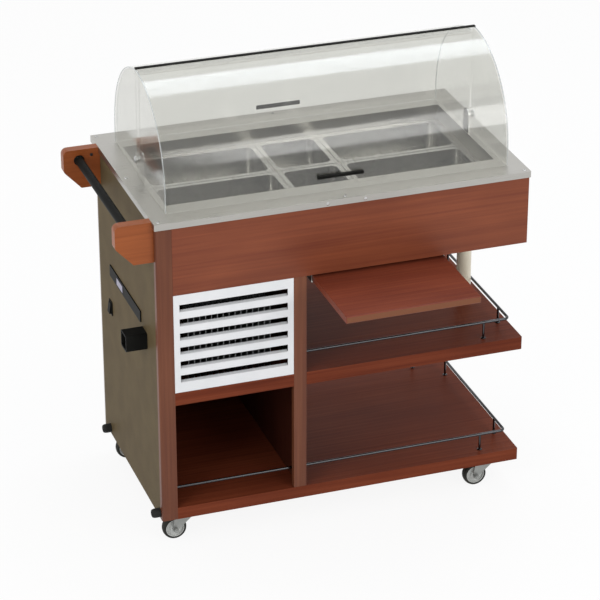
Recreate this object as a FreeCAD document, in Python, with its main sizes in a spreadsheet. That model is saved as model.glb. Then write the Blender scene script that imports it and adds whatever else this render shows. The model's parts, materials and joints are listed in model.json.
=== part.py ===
"""Refrigerated food service trolley: wooden cabinet, cold well, roll-top dome and four castors.

Millimetres, +Z up, +X along the length to the serving guest's right, -Y the front.
The origin is on the floor, in the middle of the whole trolley with its plate shelf drawn out.
"""
import FreeCAD, Part
import Sketcher
import math
import os

doc = FreeCAD.newDocument("trolley")

# ---------------------------------------------------------------- driving dimensions
SIZES = {
    # steel top frame
    "top_height": 890, "rim_side": 58, "rim_front": 98, "frame_sheet": 2, "frame_lip": 16,
    "side_margin": 13, "front_margin": 9.5,
    # wooden cabinet
    "lip_proud": 3, "rear_inset": 38, "board": 18, "end_panel": 16, "stile_width": 40, "stile_round": 6,
    "fascia_drop": 193, "deck_height": 80, "base_board": 32, "mid_height": 400, "mid_board": 34,
    "shelf_inset": 5, "edge_round": 3, "divider_place": 344, "divider_width": 33, "back_sheet": 12,
    "trim_width": 6, "seat_gap": 0.3, "deck_board": 9,
    # cold well and pans
    "tub_sheet": 1.5, "tub_depth": 140, "ledge_drop": 42, "ledge_width": 12, "support_sheet": 3,
    "foam_side": 26, "pan_long": 325, "pan_short": 162, "pan_width": 176, "pan_rim": 10,
    "pan_sheet": 1.5, "pan_depth": 65, "pan_round": 18, "pan_gap": 3,
    "coil_tube": 8, "coil_pitch": 38, "coil_margin": 60, "drain_tube": 22, "drain_length": 30,
    # roll-top dome
    "dome_setback": 49, "dome_sheet": 4, "dome_inset": 42, "dome_step": 7, "dome_lap": 3,
    "pivot_height": 46, "pivot_pin": 10, "pivot_clear": 0.05, "pivot_ear": 17, "pivot_sheet": 3,
    "cheek_gap": 2, "rim_clear": 2, "grip_length": 116, "grip_level": 34, "grip_height": 10,
    "grip_depth": 10, "grip_sheet": 3, "grip_lip": 6, "rear_grip_depth": 4, "seal_width": 9, "seal_thick": 3,
    # plate shelf under the fascia
    "shelf_reach": 222, "plate_left": 400, "plate_length": 342, "plate_depth": 420, "plate_board": 18,
    "plate_drop": 8, "runner_sheet": 2, "runner_length": 330, "runner_flange": 14, "slide_clear": 0.4,
    # handle
    "bracket_reach": 94, "bracket_height": 104, "bracket_nose": 57, "bracket_foot": 50,
    "bracket_board": 26, "bracket_round": 14, "bracket_setback": 15, "bracket_rear_place": 516,
    "bar_diameter": 22, "bar_inset": 40, "bar_drop": 28,
    # gallery rails
    "rail_rod": 7, "rail_height": 44, "rail_inset": 27, "rail_round": 12, "post_rod": 6, "post_place": 68,
    # column
    "column_diameter": 38, "column_inset": 58, "column_flange": 58, "flange_thick": 5,
    # grille and vents
    "grille_depth": 10, "grille_sheet": 2, "grille_border": 15, "slot_count": 6, "slot_pitch": 38,
    "slot_height": 20, "slat_slope": 14,
    "vent_count": 7, "vent_pitch": 22, "vent_height": 7, "vent_margin": 45,
    # refrigeration unit
    "pot_diameter": 120, "pot_height": 150, "pot_left": 95, "pot_back": 110, "foot_sheet": 3,
    "condenser_width": 210, "condenser_height": 190, "condenser_depth": 44, "condenser_place": 40,
    "fin_count": 14, "fin_sheet": 1, "tube_rows": 5, "tube_diameter": 10, "fan_diameter": 150,
    "fan_hub": 44, "fan_depth": 22, "blade_count": 5, "blade_sheet": 2.5,
    "blade_pitch": 28, "fan_gap": 1, "shroud_depth": 30,
    "shroud_gap": 4, "motor_diameter": 56, "motor_length": 42, "fan_shaft": 6,
    # end panel fittings
    "strip_front": 146, "strip_length": 278, "strip_height": 30, "strip_depth": 3, "strip_level": 566,
    "window_length": 52, "window_height": 18, "window_place": 303, "window_proud": 1,
    "switch_place": 430, "switch_level": 472, "bezel_width": 28, "bezel_height": 38, "bezel_proud": 2.5,
    "rocker_width": 20, "rocker_height": 29, "rocker_proud": 4, "rocker_depth": 14, "rocker_tilt": 8,
    "rocker_clear": 1,
    "inlet_place": 96, "inlet_level": 515, "inlet_reach": 54, "inlet_width": 46, "inlet_height": 44,
    "inlet_wall": 4, "inlet_round": 5, "pin_length": 14, "pin_width": 2, "pin_height": 6, "pin_spacing": 7,
    "bumper_diameter": 24, "bumper_reach": 22, "bumper_front": 24, "bumper_rear": 478,
    # castors
    "wheel_diameter": 62, "tyre_width": 22, "tyre_wall": 7, "hub_boss": 12, "axle_diameter": 8,
    "bore_clear": 0.05, "fork_sheet": 3, "fork_gap": 2.5, "castor_trail": 20, "plate_side": 56,
    "plate_sheet": 3, "race_diameter": 44, "race_height": 7, "stem_diameter": 12, "swivel_gap": 0.3,
    "castor_left": 66, "castor_right": 84, "castor_front": 52, "castor_rear": 52,
    # screws
    "screw_head": 9, "screw_rise": 1.2, "screw_inset": 13, "lip_screw_gap": 96,
}
sheet = doc.addObject("Spreadsheet::Sheet", "dim")
for row, (alias, number) in enumerate(SIZES.items(), start=1):
    sheet.set(f"A{row}", alias)
    sheet.set(f"B{row}", str(number))
    sheet.setAlias(f"B{row}", alias)
doc.recompute()


def size(alias):
    """The number in a cell, for what cannot be bound by an expression, such as a fillet or a count."""
    return float(sheet.get(alias))


def worth(rule):
    """What an expression of the sheet's cells comes to."""
    return float(sheet.evalExpression(rule))


# Lengths and planes that many pieces share, as expressions of the sheet's cells: the pans set the
# opening, the opening and its rim set the top, and the top sets the cabinet and the dome.
OPENING_LENGTH = "(2 * dim.pan_long + dim.pan_short + 2 * dim.pan_gap + 2 * dim.side_margin)"
OPENING_DEPTH = "(2 * dim.pan_width + dim.pan_gap + 2 * dim.front_margin)"
TOP_LENGTH = f"({OPENING_LENGTH} + 2 * dim.rim_side)"
TOP_DEPTH = f"({OPENING_DEPTH} + 2 * dim.rim_front)"
DOME_RADIUS = f"({TOP_DEPTH} / 2 - dim.dome_setback)"
LEFT = f"((dim.bracket_reach - dim.lip_proud - {TOP_LENGTH}) / 2)"
FRONT = f"((dim.shelf_reach - {TOP_DEPTH}) / 2)"
RIGHT = f"({LEFT} + {TOP_LENGTH})"
REAR = f"({FRONT} + {TOP_DEPTH})"
TOP = "dim.top_height"
WOOD_LEFT = f"({LEFT} + dim.lip_proud)"
WOOD_RIGHT = f"({RIGHT} - dim.lip_proud)"
WOOD_FRONT = f"({FRONT} + dim.lip_proud)"
WOOD_REAR = f"({REAR} - dim.rear_inset)"
WOOD_TOP = f"({TOP} - dim.frame_sheet)"
FASCIA = f"({TOP} - dim.fascia_drop)"
BASE_TOP = "(dim.deck_height + dim.base_board)"
MID_TOP = "(dim.mid_height + dim.mid_board)"
INNER_LEFT = f"({WOOD_LEFT} + dim.end_panel)"
STILE_RIGHT = f"({WOOD_LEFT} + dim.stile_width)"
DIVIDER_LEFT = f"({WOOD_LEFT} + dim.divider_place)"
DIVIDER_RIGHT = f"({DIVIDER_LEFT} + dim.divider_width)"
DIVIDER_INNER = f"({DIVIDER_RIGHT} - dim.board)"
BEHIND_FRONT = f"({WOOD_FRONT} + dim.board)"
SHELF_RIGHT = f"({RIGHT} - dim.shelf_inset)"
WELL_LEFT = f"({LEFT} + dim.rim_side)"
WELL_FRONT = f"({FRONT} + dim.rim_front)"
PIVOT_Y = f"({FRONT} + {TOP_DEPTH} / 2)"
PIVOT_Z = f"({TOP} + dim.pivot_height)"
CENTRE_X = f"({LEFT} + {TOP_LENGTH} / 2)"
DRAIN_X = f"({WELL_LEFT} + {OPENING_LENGTH} - dim.ledge_width - 1.2 * dim.drain_tube)"
DRAIN_Y = f"({PIVOT_Y} + 0.7 * dim.pan_width)"

ALONG_X = FreeCAD.Rotation(FreeCAD.Vector(0, 1, 0), 90)
ALONG_Y = FreeCAD.Rotation(FreeCAD.Vector(1, 0, 0), -90)
UPRIGHT = FreeCAD.Rotation()
pieces = []


# ---------------------------------------------------------------- small builders
def place(thing, corner, turn=UPRIGHT):
    """Turn a solid, then bind its position to three expressions."""
    thing.Placement = FreeCAD.Placement(FreeCAD.Vector(), turn)
    for axis, rule in zip("xyz", corner):
        thing.setExpression(f"Placement.Base.{axis}", rule)
    return thing


def block(name, sides, corner):
    """A box with its three sides and its lowest corner given as expressions."""
    thing = doc.addObject("Part::Box", name)
    for side, rule in zip(("Length", "Width", "Height"), sides):
        thing.setExpression(side, rule)
    return place(thing, corner)


def rod(name, radius, length, start, turn=UPRIGHT, sweep=None):
    """A cylinder, or a pie slice of one, from its start point along the turned Z axis."""
    thing = doc.addObject("Part::Cylinder", name)
    thing.setExpression("Radius", radius)
    thing.setExpression("Height", length)
    if sweep:
        thing.setExpression("Angle", sweep)
    return place(thing, start, turn)


def bend(name, ring, tube, centre, turn, sweep="90"):
    """Part of a torus: the rounded corner of a rod."""
    thing = doc.addObject("Part::Torus", name)
    thing.setExpression("Radius1", ring)
    thing.setExpression("Radius2", tube)
    thing.setExpression("Angle3", sweep)
    return place(thing, centre, turn)


def fuse(name, *parts):
    """One solid from solids that meet."""
    thing = doc.addObject("Part::MultiFuse", name)
    thing.Shapes = list(parts)
    return thing


def cut(name, base, *tools):
    """A solid less one or more others."""
    thing = doc.addObject("Part::Cut", name)
    thing.Base = base
    thing.Tool = tools[0] if len(tools) == 1 else fuse(name + "_tools", *tools)
    return thing


def group(name, *parts):
    """Separate solids that share one name."""
    thing = doc.addObject("Part::Compound", name)
    thing.Links = list(parts)
    return thing


def copy(name, thing, corner, turn=UPRIGHT):
    """The same shape again, in its own place."""
    return place(group(name, thing), corner, turn)


def shifted(name, thing, x, y, z):
    """A solid moved inside a group, so that the group can then be turned about its own origin."""
    place(thing, (x, y, z))
    return group(name, thing)


def is_upright(edge):
    """True for a straight edge along Z."""
    box = edge.BoundBox
    return box.XLength < 0.001 and box.YLength < 0.001


def rounded(name, base, radius, wanted):
    """Round the edges of a solid that the test picks."""
    doc.recompute()
    thing = doc.addObject("Part::Fillet", name)
    thing.Base = base
    chosen = [(i, radius, radius) for i, edge in enumerate(base.Shape.Edges, start=1) if wanted(edge)]
    thing.Edges = chosen
    return thing


def keep(thing, label):
    """Finish a piece: its label is its name and its file's name."""
    thing.Label = label
    pieces.append(thing)
    return thing


def sketch(body, role, name, offset=None):
    """A sketch on one of the body's own planes."""
    plane = [f for f in body.Origin.OriginFeatures if f.Role == role][0]
    drawing = body.newObject("Sketcher::SketchObject", name)
    drawing.AttachmentSupport = [(plane, "")]
    drawing.MapMode = "FlatFace"
    if offset:
        drawing.setExpression("AttachmentOffset.Base.z", offset)
    return drawing


def outline(drawing, points):
    """A closed outline of straight sides; each corner's place is a pair of expressions."""
    first = drawing.GeometryCount
    count = len(points)
    spots = [FreeCAD.Vector(math.cos(math.tau * k / count), math.sin(math.tau * k / count)) * 50
             for k in range(count)]
    for k in range(count):
        drawing.addGeometry(Part.LineSegment(spots[k], spots[(k + 1) % count]), False)
    for k in range(count):
        drawing.addConstraint(Sketcher.Constraint("Coincident", first + k, 2, first + (k + 1) % count, 1))
    for k, (across, up) in enumerate(points):
        for kind, rule in (("DistanceX", across), ("DistanceY", up)):
            number = drawing.addConstraint(Sketcher.Constraint(kind, -1, 1, first + k, 1, 1.0))
            drawing.setExpression(f"Constraints[{number}]", rule)


# ---------------------------------------------------------------- steel top frame and its screws
def top_frame():
    """Four folded steel strips, welded round the well: a wide flat rim with a short lip outside."""
    outer = block("frame_outer", (TOP_LENGTH, TOP_DEPTH, "dim.frame_lip"),
                  (LEFT, FRONT, f"{TOP} - dim.frame_lip"))
    shaped = rounded("frame_shaped", outer, size("frame_sheet"), is_upright)
    hollow = block("frame_hollow",
                   (f"{TOP_LENGTH} - 2 * dim.frame_sheet", f"{TOP_DEPTH} - 2 * dim.frame_sheet",
                    "dim.frame_lip - dim.frame_sheet"),
                   (f"{LEFT} + dim.frame_sheet", f"{FRONT} + dim.frame_sheet", f"{TOP} - dim.frame_lip"))
    folded = cut("frame_folded", shaped, hollow)
    far_y = f"({REAR} - dim.rim_front)"
    far_x = f"({RIGHT} - dim.rim_side)"
    fields = (("front", TOP_LENGTH, "dim.rim_front", LEFT, FRONT),
              ("rear", TOP_LENGTH, "dim.rim_front", LEFT, far_y),
              ("left", "dim.rim_side", OPENING_DEPTH, LEFT, WELL_FRONT),
              ("right", "dim.rim_side", OPENING_DEPTH, far_x, WELL_FRONT))
    strips = []
    for tag, long, wide, x, y in fields:
        strip = doc.addObject("Part::MultiCommon", f"frame_{tag}")
        strip.Shapes = [folded, block(f"frame_{tag}_field", (long, wide, "dim.frame_lip"),
                                      (x, y, f"{TOP} - dim.frame_lip"))]
        strips.append(strip)
    keep(group("frame_strips", *strips), "top_frame")


def screw(name, x, y, z, turn=UPRIGHT):
    """A low pan head that stands on a face."""
    return rod(name, "dim.screw_head / 2", "dim.screw_rise", (x, y, z), turn)


FACING_FRONT = FreeCAD.Rotation(FreeCAD.Vector(1, 0, 0), 90)
FACING_LEFT = FreeCAD.Rotation(FreeCAD.Vector(0, 1, 0), -90)


def screws():
    """The screws that show: eight in the rim and two in its front lip."""
    heads = []
    for i, across in enumerate((f"{LEFT} + dim.screw_inset", CENTRE_X, f"{RIGHT} - dim.screw_inset")):
        for j, back in enumerate((f"{FRONT} + dim.screw_inset", PIVOT_Y, f"{REAR} - dim.screw_inset")):
            if (i, j) != (1, 1):
                heads.append(screw(f"rim_screw_{i}{j}", across, back, TOP))
    for side in (-1, 1):
        heads.append(screw(f"lip_screw_{side + 1}", f"{CENTRE_X} + {side} * dim.lip_screw_gap / 2",
                           FRONT, f"{TOP} - dim.frame_lip / 2", FACING_FRONT))
    keep(group("screw_heads", *heads), "screws")


# ---------------------------------------------------------------- wooden cabinet
def cabinet():
    """End panel, stiles, divider, fascia boards, shelves and back: boards that meet face to face."""
    stile = block("stile_blank", ("dim.stile_width", "dim.board", f"{WOOD_TOP} - dim.deck_height"),
                  (WOOD_LEFT, WOOD_FRONT, "dim.deck_height"))
    doc.recompute()
    corner = stile.Shape.BoundBox
    keep(rounded("stile_round", stile, size("stile_round"),
                 lambda e: is_upright(e) and abs(e.BoundBox.XMin - corner.XMin) < 0.001
                 and abs(e.BoundBox.YMin - corner.YMin) < 0.001), "left_stile")

    panel = block("panel_blank",
                  ("dim.end_panel", f"{WOOD_REAR} - dim.trim_width - {BEHIND_FRONT}",
                   f"{WOOD_TOP} - dim.deck_height"), (WOOD_LEFT, BEHIND_FRONT, "dim.deck_height"))
    switch_hole = block("switch_hole", ("3 * dim.end_panel", "dim.rocker_width + 2 * dim.rocker_clear",
                                        "dim.rocker_height + 2 * dim.rocker_clear"),
                        (f"{WOOD_LEFT} - dim.end_panel",
                         f"{FRONT} + dim.switch_place - dim.rocker_width / 2 - dim.rocker_clear",
                         "dim.switch_level - dim.rocker_height / 2 - dim.rocker_clear"))
    wire_hole = rod("wire_hole", "dim.inlet_width / 5", "3 * dim.end_panel",
                    (f"{WOOD_LEFT} - dim.end_panel", f"{FRONT} + dim.inlet_place + dim.inlet_width / 2",
                     "dim.inlet_level + dim.inlet_height / 2"), ALONG_X)
    keep(cut("panel_cut", panel, switch_hole, wire_hole), "left_panel")
    keep(block("trim", ("dim.end_panel", "dim.trim_width", f"{WOOD_TOP} - dim.deck_height"),
               (WOOD_LEFT, f"{WOOD_REAR} - dim.trim_width", "dim.deck_height")), "rear_edge_trim")

    keep(block("divider_front", ("dim.divider_width", "dim.board", f"{FASCIA} - {BASE_TOP}"),
               (DIVIDER_LEFT, WOOD_FRONT, BASE_TOP)), "divider_stile")
    keep(block("divider", ("dim.board", f"{WOOD_REAR} - {BEHIND_FRONT}", f"{FASCIA} - {BASE_TOP}"),
               (DIVIDER_INNER, BEHIND_FRONT, BASE_TOP)), "divider_panel")

    keep(block("fascia_f", (f"{WOOD_RIGHT} - {STILE_RIGHT}", "dim.board", f"{WOOD_TOP} - {FASCIA}"),
               (STILE_RIGHT, WOOD_FRONT, FASCIA)), "fascia_front")
    keep(block("fascia_s", ("dim.board", f"{WOOD_REAR} - dim.board - {BEHIND_FRONT}",
                            f"{WOOD_TOP} - {FASCIA}"),
               (f"{WOOD_RIGHT} - dim.board", BEHIND_FRONT, FASCIA)), "fascia_right")
    keep(block("fascia_r", (f"{WOOD_RIGHT} - {INNER_LEFT}", "dim.board", f"{WOOD_TOP} - {FASCIA}"),
               (INNER_LEFT, f"{WOOD_REAR} - dim.board", FASCIA)), "fascia_rear")
    deck = block("deck", (f"{WOOD_RIGHT} - dim.board - {INNER_LEFT}",
                          f"{WOOD_REAR} - dim.board - {BEHIND_FRONT}", "dim.deck_board"),
                 (INNER_LEFT, BEHIND_FRONT, FASCIA))
    deck_hole = rod("deck_drain_hole", "dim.drain_tube / 2", "3 * dim.deck_board",
                    (DRAIN_X, DRAIN_Y, f"{FASCIA} - dim.deck_board"))
    keep(cut("deck_cut", deck, deck_hole), "well_deck")

    base = block("base_blank", (f"{SHELF_RIGHT} - {INNER_LEFT}", f"{WOOD_REAR} - {WOOD_FRONT}",
                                "dim.base_board"), (INNER_LEFT, WOOD_FRONT, "dim.deck_height"))
    notch = block("base_notch", ("dim.stile_width", "dim.board", "3 * dim.base_board"),
                  (WOOD_LEFT, WOOD_FRONT, "dim.deck_height - dim.base_board"))
    notched = cut("base_notched", base, notch)
    doc.recompute()
    far = notched.Shape.BoundBox.XMax
    keep(rounded("base_round", notched, size("edge_round"),
                 lambda e: is_upright(e) and e.BoundBox.XMin > far - 0.001), "base_shelf")

    shelf = block("shelf_blank", (f"{SHELF_RIGHT} - {DIVIDER_RIGHT}", f"{WOOD_REAR} - {WOOD_FRONT}",
                                  "dim.mid_board"), (DIVIDER_RIGHT, WOOD_FRONT, "dim.mid_height"))
    keep(rounded("shelf_round", shelf, size("edge_round"),
                 lambda e: is_upright(e) and e.BoundBox.XMin > far - 0.001), "mid_shelf")

    floor = block("floor_blank", (f"{DIVIDER_INNER} - {INNER_LEFT}",
                                  f"{WOOD_REAR} - dim.back_sheet - {WOOD_FRONT}", "dim.mid_board"),
                  (INNER_LEFT, WOOD_FRONT, "dim.mid_height"))
    left_notch = block("floor_notch_l", ("dim.stile_width", "dim.board", "3 * dim.mid_board"),
                       (WOOD_LEFT, WOOD_FRONT, "dim.mid_height - dim.mid_board"))
    right_notch = block("floor_notch_r", ("dim.divider_width", "dim.board", "3 * dim.mid_board"),
                        (DIVIDER_LEFT, WOOD_FRONT, "dim.mid_height - dim.mid_board"))
    keep(cut("floor_cut", floor, left_notch, right_notch), "machine_floor")

    back = block("back_blank", (f"{DIVIDER_INNER} - {INNER_LEFT}", "dim.back_sheet",
                                f"{FASCIA} - {BASE_TOP}"),
                 (INNER_LEFT, f"{WOOD_REAR} - dim.back_sheet", BASE_TOP))
    vents = [block(f"vent_{k}", (f"{DIVIDER_INNER} - {INNER_LEFT} - 2 * dim.vent_margin",
                                 "3 * dim.back_sheet", "dim.vent_height"),
                   (f"{INNER_LEFT} + dim.vent_margin", f"{WOOD_REAR} - 2 * dim.back_sheet",
                    f"{MID_TOP} + dim.vent_margin + {k} * dim.vent_pitch"))
             for k in range(int(size("vent_count")))]
    keep(cut("back_cut", back, *vents), "rear_panel")


# ---------------------------------------------------------------- louvred grille
def grille():
    """A white pressed plate with slots; a slat rises inward from the lower edge of each slot."""
    wide = f"({DIVIDER_LEFT} - {STILE_RIGHT} - 2 * dim.seat_gap)"
    tall = f"({FASCIA} - {MID_TOP} - 2 * dim.seat_gap)"
    middle = f"({MID_TOP} + {tall} / 2 + dim.seat_gap)"
    slot_wide = f"({wide} - 2 * dim.grille_border)"
    plate = block("grille_plate", (wide, "dim.grille_sheet", tall),
                  (f"{STILE_RIGHT} + dim.seat_gap", f"{WOOD_FRONT} + dim.seat_gap",
                   f"{MID_TOP} + dim.seat_gap"))
    count = int(size("slot_count"))
    slots = []
    slats = []
    for k in range(count):
        level = f"({middle} + ({k} - ({count} - 1) / 2) * dim.slot_pitch)"
        slots.append(block(f"slot_{k}", (slot_wide, "dim.grille_depth", "dim.slot_height"),
                           (f"{STILE_RIGHT} + dim.seat_gap + dim.grille_border",
                            f"{WOOD_FRONT} - dim.grille_sheet", f"{level} - dim.slot_height / 2")))
        blade = block(f"slat_{k}", (slot_wide, "dim.grille_depth", "dim.grille_sheet"), ("0", "0", "0"))
        slat = place(shifted(f"slat_set_{k}", blade, "0", "0", "dim.grille_sheet / -2"),
                     (f"{STILE_RIGHT} + dim.seat_gap + dim.grille_border", f"{WOOD_FRONT} + dim.seat_gap",
                      f"{level} - dim.slot_height / 2"),
                     FreeCAD.Rotation(FreeCAD.Vector(1, 0, 0), size("slat_slope")))
        slats.append(slat)
    open_plate = cut("grille_open", plate, *slots)
    keep(fuse("grille_fused", open_plate, *slats), "vent_grille")


# ---------------------------------------------------------------- cold well
def ring(name, inner, thick, height, level):
    """Four plates, face to face, round an inner rectangle given by its corner and sides."""
    x, y, long, wide = inner
    across = (f"{long} + 2 * {thick}", thick, height)
    return [block(f"{name}_front", across, (f"{x} - {thick}", f"{y} - {thick}", level)),
            block(f"{name}_rear", across, (f"{x} - {thick}", f"{y} + {wide}", level)),
            block(f"{name}_left", (thick, wide, height), (f"{x} - {thick}", y, level)),
            block(f"{name}_right", (thick, wide, height), (f"{x} + {long}", y, level))]


def well():
    """A welded steel tub with a ledge, foam round it, a support frame and six lift-out pans."""
    ledge_z = f"({TOP} - dim.ledge_drop)"
    tub_z = f"({TOP} - dim.tub_depth)"
    low_left = f"({WELL_LEFT} + dim.ledge_width)"
    low_front = f"({WELL_FRONT} + dim.ledge_width)"
    low_long = f"({OPENING_LENGTH} - 2 * dim.ledge_width)"
    low_wide = f"({OPENING_DEPTH} - 2 * dim.ledge_width)"
    wall = "dim.tub_sheet"
    low = (low_left, low_front, low_long, low_wide)
    drain_hole = rod("tub_drain_hole", "dim.drain_tube / 2 - dim.tub_sheet", "4 * dim.tub_sheet",
                     (DRAIN_X, DRAIN_Y, f"{tub_z} - 2 * dim.tub_sheet"))
    plates = [*ring("tub_upper", (WELL_LEFT, WELL_FRONT, OPENING_LENGTH, OPENING_DEPTH), wall,
                    "dim.ledge_drop - dim.frame_sheet", ledge_z),
              *ring("tub_ledge", low, f"(dim.ledge_width + {wall})", wall, f"{ledge_z} - {wall}"),
              *ring("tub_lower", low, wall, f"{ledge_z} - {wall} - {tub_z}", tub_z),
              cut("tub_floor", block("tub_floor_blank", (low_long, low_wide, wall),
                                     (low_left, low_front, tub_z)), drain_hole)]
    keep(group("tub_plates", *plates), "well_tub")

    foam_low = f"({FASCIA} + dim.deck_board)"
    foam = block("foam_blank",
                 (f"{low_long} + 2 * dim.foam_side", f"{low_wide} + 2 * dim.foam_side",
                  f"{ledge_z} - {wall} - {foam_low}"),
                 (f"{low_left} - dim.foam_side", f"{low_front} - dim.foam_side", foam_low))
    cavity = block("foam_cavity", (f"{low_long} + 2 * {wall}", f"{low_wide} + 2 * {wall}",
                                   "2 * dim.tub_depth"), (f"{low_left} - {wall}", f"{low_front} - {wall}",
                                                          tub_z))
    drain_way = rod("foam_drain_way", "dim.drain_tube / 2", "dim.tub_depth",
                    (DRAIN_X, DRAIN_Y, f"{foam_low} - dim.deck_board"))
    runs = int(worth(f"({OPENING_DEPTH} - 2 * dim.ledge_width - dim.coil_margin) / dim.coil_pitch"))
    coil = coil_run("coil", runs, low_left, low_front, f"({tub_z} - dim.coil_tube / 2 - dim.seat_gap)")
    groove = block("foam_groove",
                   (f"{low_long} - dim.coil_margin + 2 * dim.coil_pitch",
                    f"{runs} * dim.coil_pitch + dim.coil_tube", "dim.coil_tube + 2 * dim.seat_gap"),
                   (f"{low_left} + dim.coil_margin / 2 - dim.coil_pitch",
                    f"{low_front} + dim.coil_margin / 2 - dim.coil_pitch / 2 + dim.coil_tube",
                    f"{tub_z} - dim.coil_tube - 2 * dim.seat_gap"))
    keep(cut("foam_cut", foam, cavity, drain_way, groove), "well_insulation")
    keep(coil, "evaporator_coil")

    spigot = rod("spigot_tube", "dim.drain_tube / 2 - dim.seat_gap",
                 f"{tub_z} - {FASCIA} + dim.drain_length", (DRAIN_X, DRAIN_Y, f"{FASCIA} - dim.drain_length"))
    bore = rod("spigot_bore", "dim.drain_tube / 2 - dim.tub_sheet",
               f"{tub_z} - {FASCIA} + 2 * dim.drain_length",
               (DRAIN_X, DRAIN_Y, f"{FASCIA} - 1.5 * dim.drain_length"))
    collar = rod("spigot_collar", "dim.drain_tube * 0.8", "dim.drain_length / 6",
                 (DRAIN_X, DRAIN_Y, f"{FASCIA} - dim.drain_length / 6"))
    keep(cut("spigot_cut", fuse("spigot_body", spigot, collar), bore), "drain_spigot")

    pans(ledge_z)


def coil_run(name, runs, left, front, level):
    """Copper tube in straight runs joined by half turns."""
    start = f"({left} + dim.coil_margin / 2)"
    length = f"({OPENING_LENGTH} - 2 * dim.ledge_width - dim.coil_margin - 2 * dim.drain_tube)"
    first = f"({front} + dim.coil_margin / 2 + dim.coil_pitch / 2)"
    tubes = []
    for k in range(runs):
        row_y = f"({first} + {k} * dim.coil_pitch)"
        tubes.append(rod(f"{name}_run_{k}", "dim.coil_tube / 2", length, (start, row_y, level), ALONG_X))
        if k < runs - 1:
            at_right = k % 2 == 0
            turn = FreeCAD.Rotation(FreeCAD.Vector(0, 0, 1), -90 if at_right else 90)
            end = f"({start} + {length})" if at_right else start
            tubes.append(bend(f"{name}_turn_{k}", "dim.coil_pitch / 2", "dim.coil_tube / 2",
                              (end, f"({row_y} + dim.coil_pitch / 2)", level), turn, "180"))
    return fuse(name, *tubes)


def pans(ledge_z):
    """The support frame on the ledge, and three columns of two pans that hang in its windows."""
    frame = block("support_blank",
                  (f"{OPENING_LENGTH} - 2 * dim.seat_gap", f"{OPENING_DEPTH} - 2 * dim.seat_gap",
                   "dim.support_sheet"),
                  (f"{WELL_LEFT} + dim.seat_gap", f"{WELL_FRONT} + dim.seat_gap", ledge_z))
    row_width = "(2 * dim.pan_long + dim.pan_short + 2 * dim.pan_gap)"
    first_x = f"({CENTRE_X} - {row_width} / 2)"
    first_y = f"({PIVOT_Y} - dim.pan_width - dim.pan_gap / 2)"
    columns = (("left", "dim.pan_long", first_x),
               ("centre", "dim.pan_short", f"({first_x} + dim.pan_long + dim.pan_gap)"),
               ("right", "dim.pan_long", f"({first_x} + dim.pan_long + dim.pan_short + 2 * dim.pan_gap)"))
    windows = []
    large = []
    small = []
    for column, length, x in columns:
        for row, y in (("front", first_y), ("rear", f"({first_y} + dim.pan_width + dim.pan_gap)")):
            tag = f"{column}_{row}"
            windows.append(block(f"window_{tag}",
                                 (f"{length} - 2 * dim.pan_rim + 2 * dim.seat_gap",
                                  "dim.pan_width - 2 * dim.pan_rim + 2 * dim.seat_gap",
                                  "4 * dim.support_sheet"),
                                 (f"{x} + dim.pan_rim - dim.seat_gap", f"{y} + dim.pan_rim - dim.seat_gap",
                                  f"{ledge_z} - dim.support_sheet")))
            (small if column == "centre" else large).append(
                pan(tag, length, x, y, f"({ledge_z} + dim.support_sheet)"))
    keep(cut("support_cut", frame, *windows), "pan_support")
    keep(group("large_pan_set", *large), "large_pans")
    keep(group("small_pan_set", *small), "small_pans")


def pan(tag, length, x, y, z):
    """A pressed steel pan: a flat rim and a rounded tub below it."""
    rim = block(f"pan_rim_{tag}", (length, "dim.pan_width", "dim.pan_sheet"), (x, y, z))
    rim = rounded(f"pan_rim_round_{tag}", rim, size("pan_rim"), is_upright)
    sides = f"({length} - 2 * dim.pan_rim)"
    across = "(dim.pan_width - 2 * dim.pan_rim)"
    body = block(f"pan_body_{tag}", (sides, across, "dim.pan_depth"),
                 (f"{x} + dim.pan_rim", f"{y} + dim.pan_rim", f"{z} - dim.pan_depth + dim.pan_sheet"))
    body = rounded(f"pan_body_round_{tag}", body, size("pan_round"), is_upright)
    inside = block(f"pan_inside_{tag}",
                   (f"{sides} - 2 * dim.pan_sheet", f"{across} - 2 * dim.pan_sheet", "dim.pan_depth"),
                   (f"{x} + dim.pan_rim + dim.pan_sheet", f"{y} + dim.pan_rim + dim.pan_sheet",
                    f"{z} - dim.pan_depth + 2 * dim.pan_sheet"))
    inside = rounded(f"pan_inside_round_{tag}", inside, size("pan_round") - size("pan_sheet"), is_upright)
    return cut(f"pan_{tag}", fuse(f"pan_solid_{tag}", rim, body), inside)


# ---------------------------------------------------------------- roll-top dome
FRONT_QUARTER = FreeCAD.Rotation(FreeCAD.Vector(0, 0, 1), FreeCAD.Vector(0, -1, 0),
                                 FreeCAD.Vector(1, 0, 0), "ZXY")
REAR_QUARTER = FreeCAD.Rotation(FreeCAD.Vector(0, 1, 0), FreeCAD.Vector(0, 0, 1),
                                FreeCAD.Vector(1, 0, 0), "ZXY")


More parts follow.
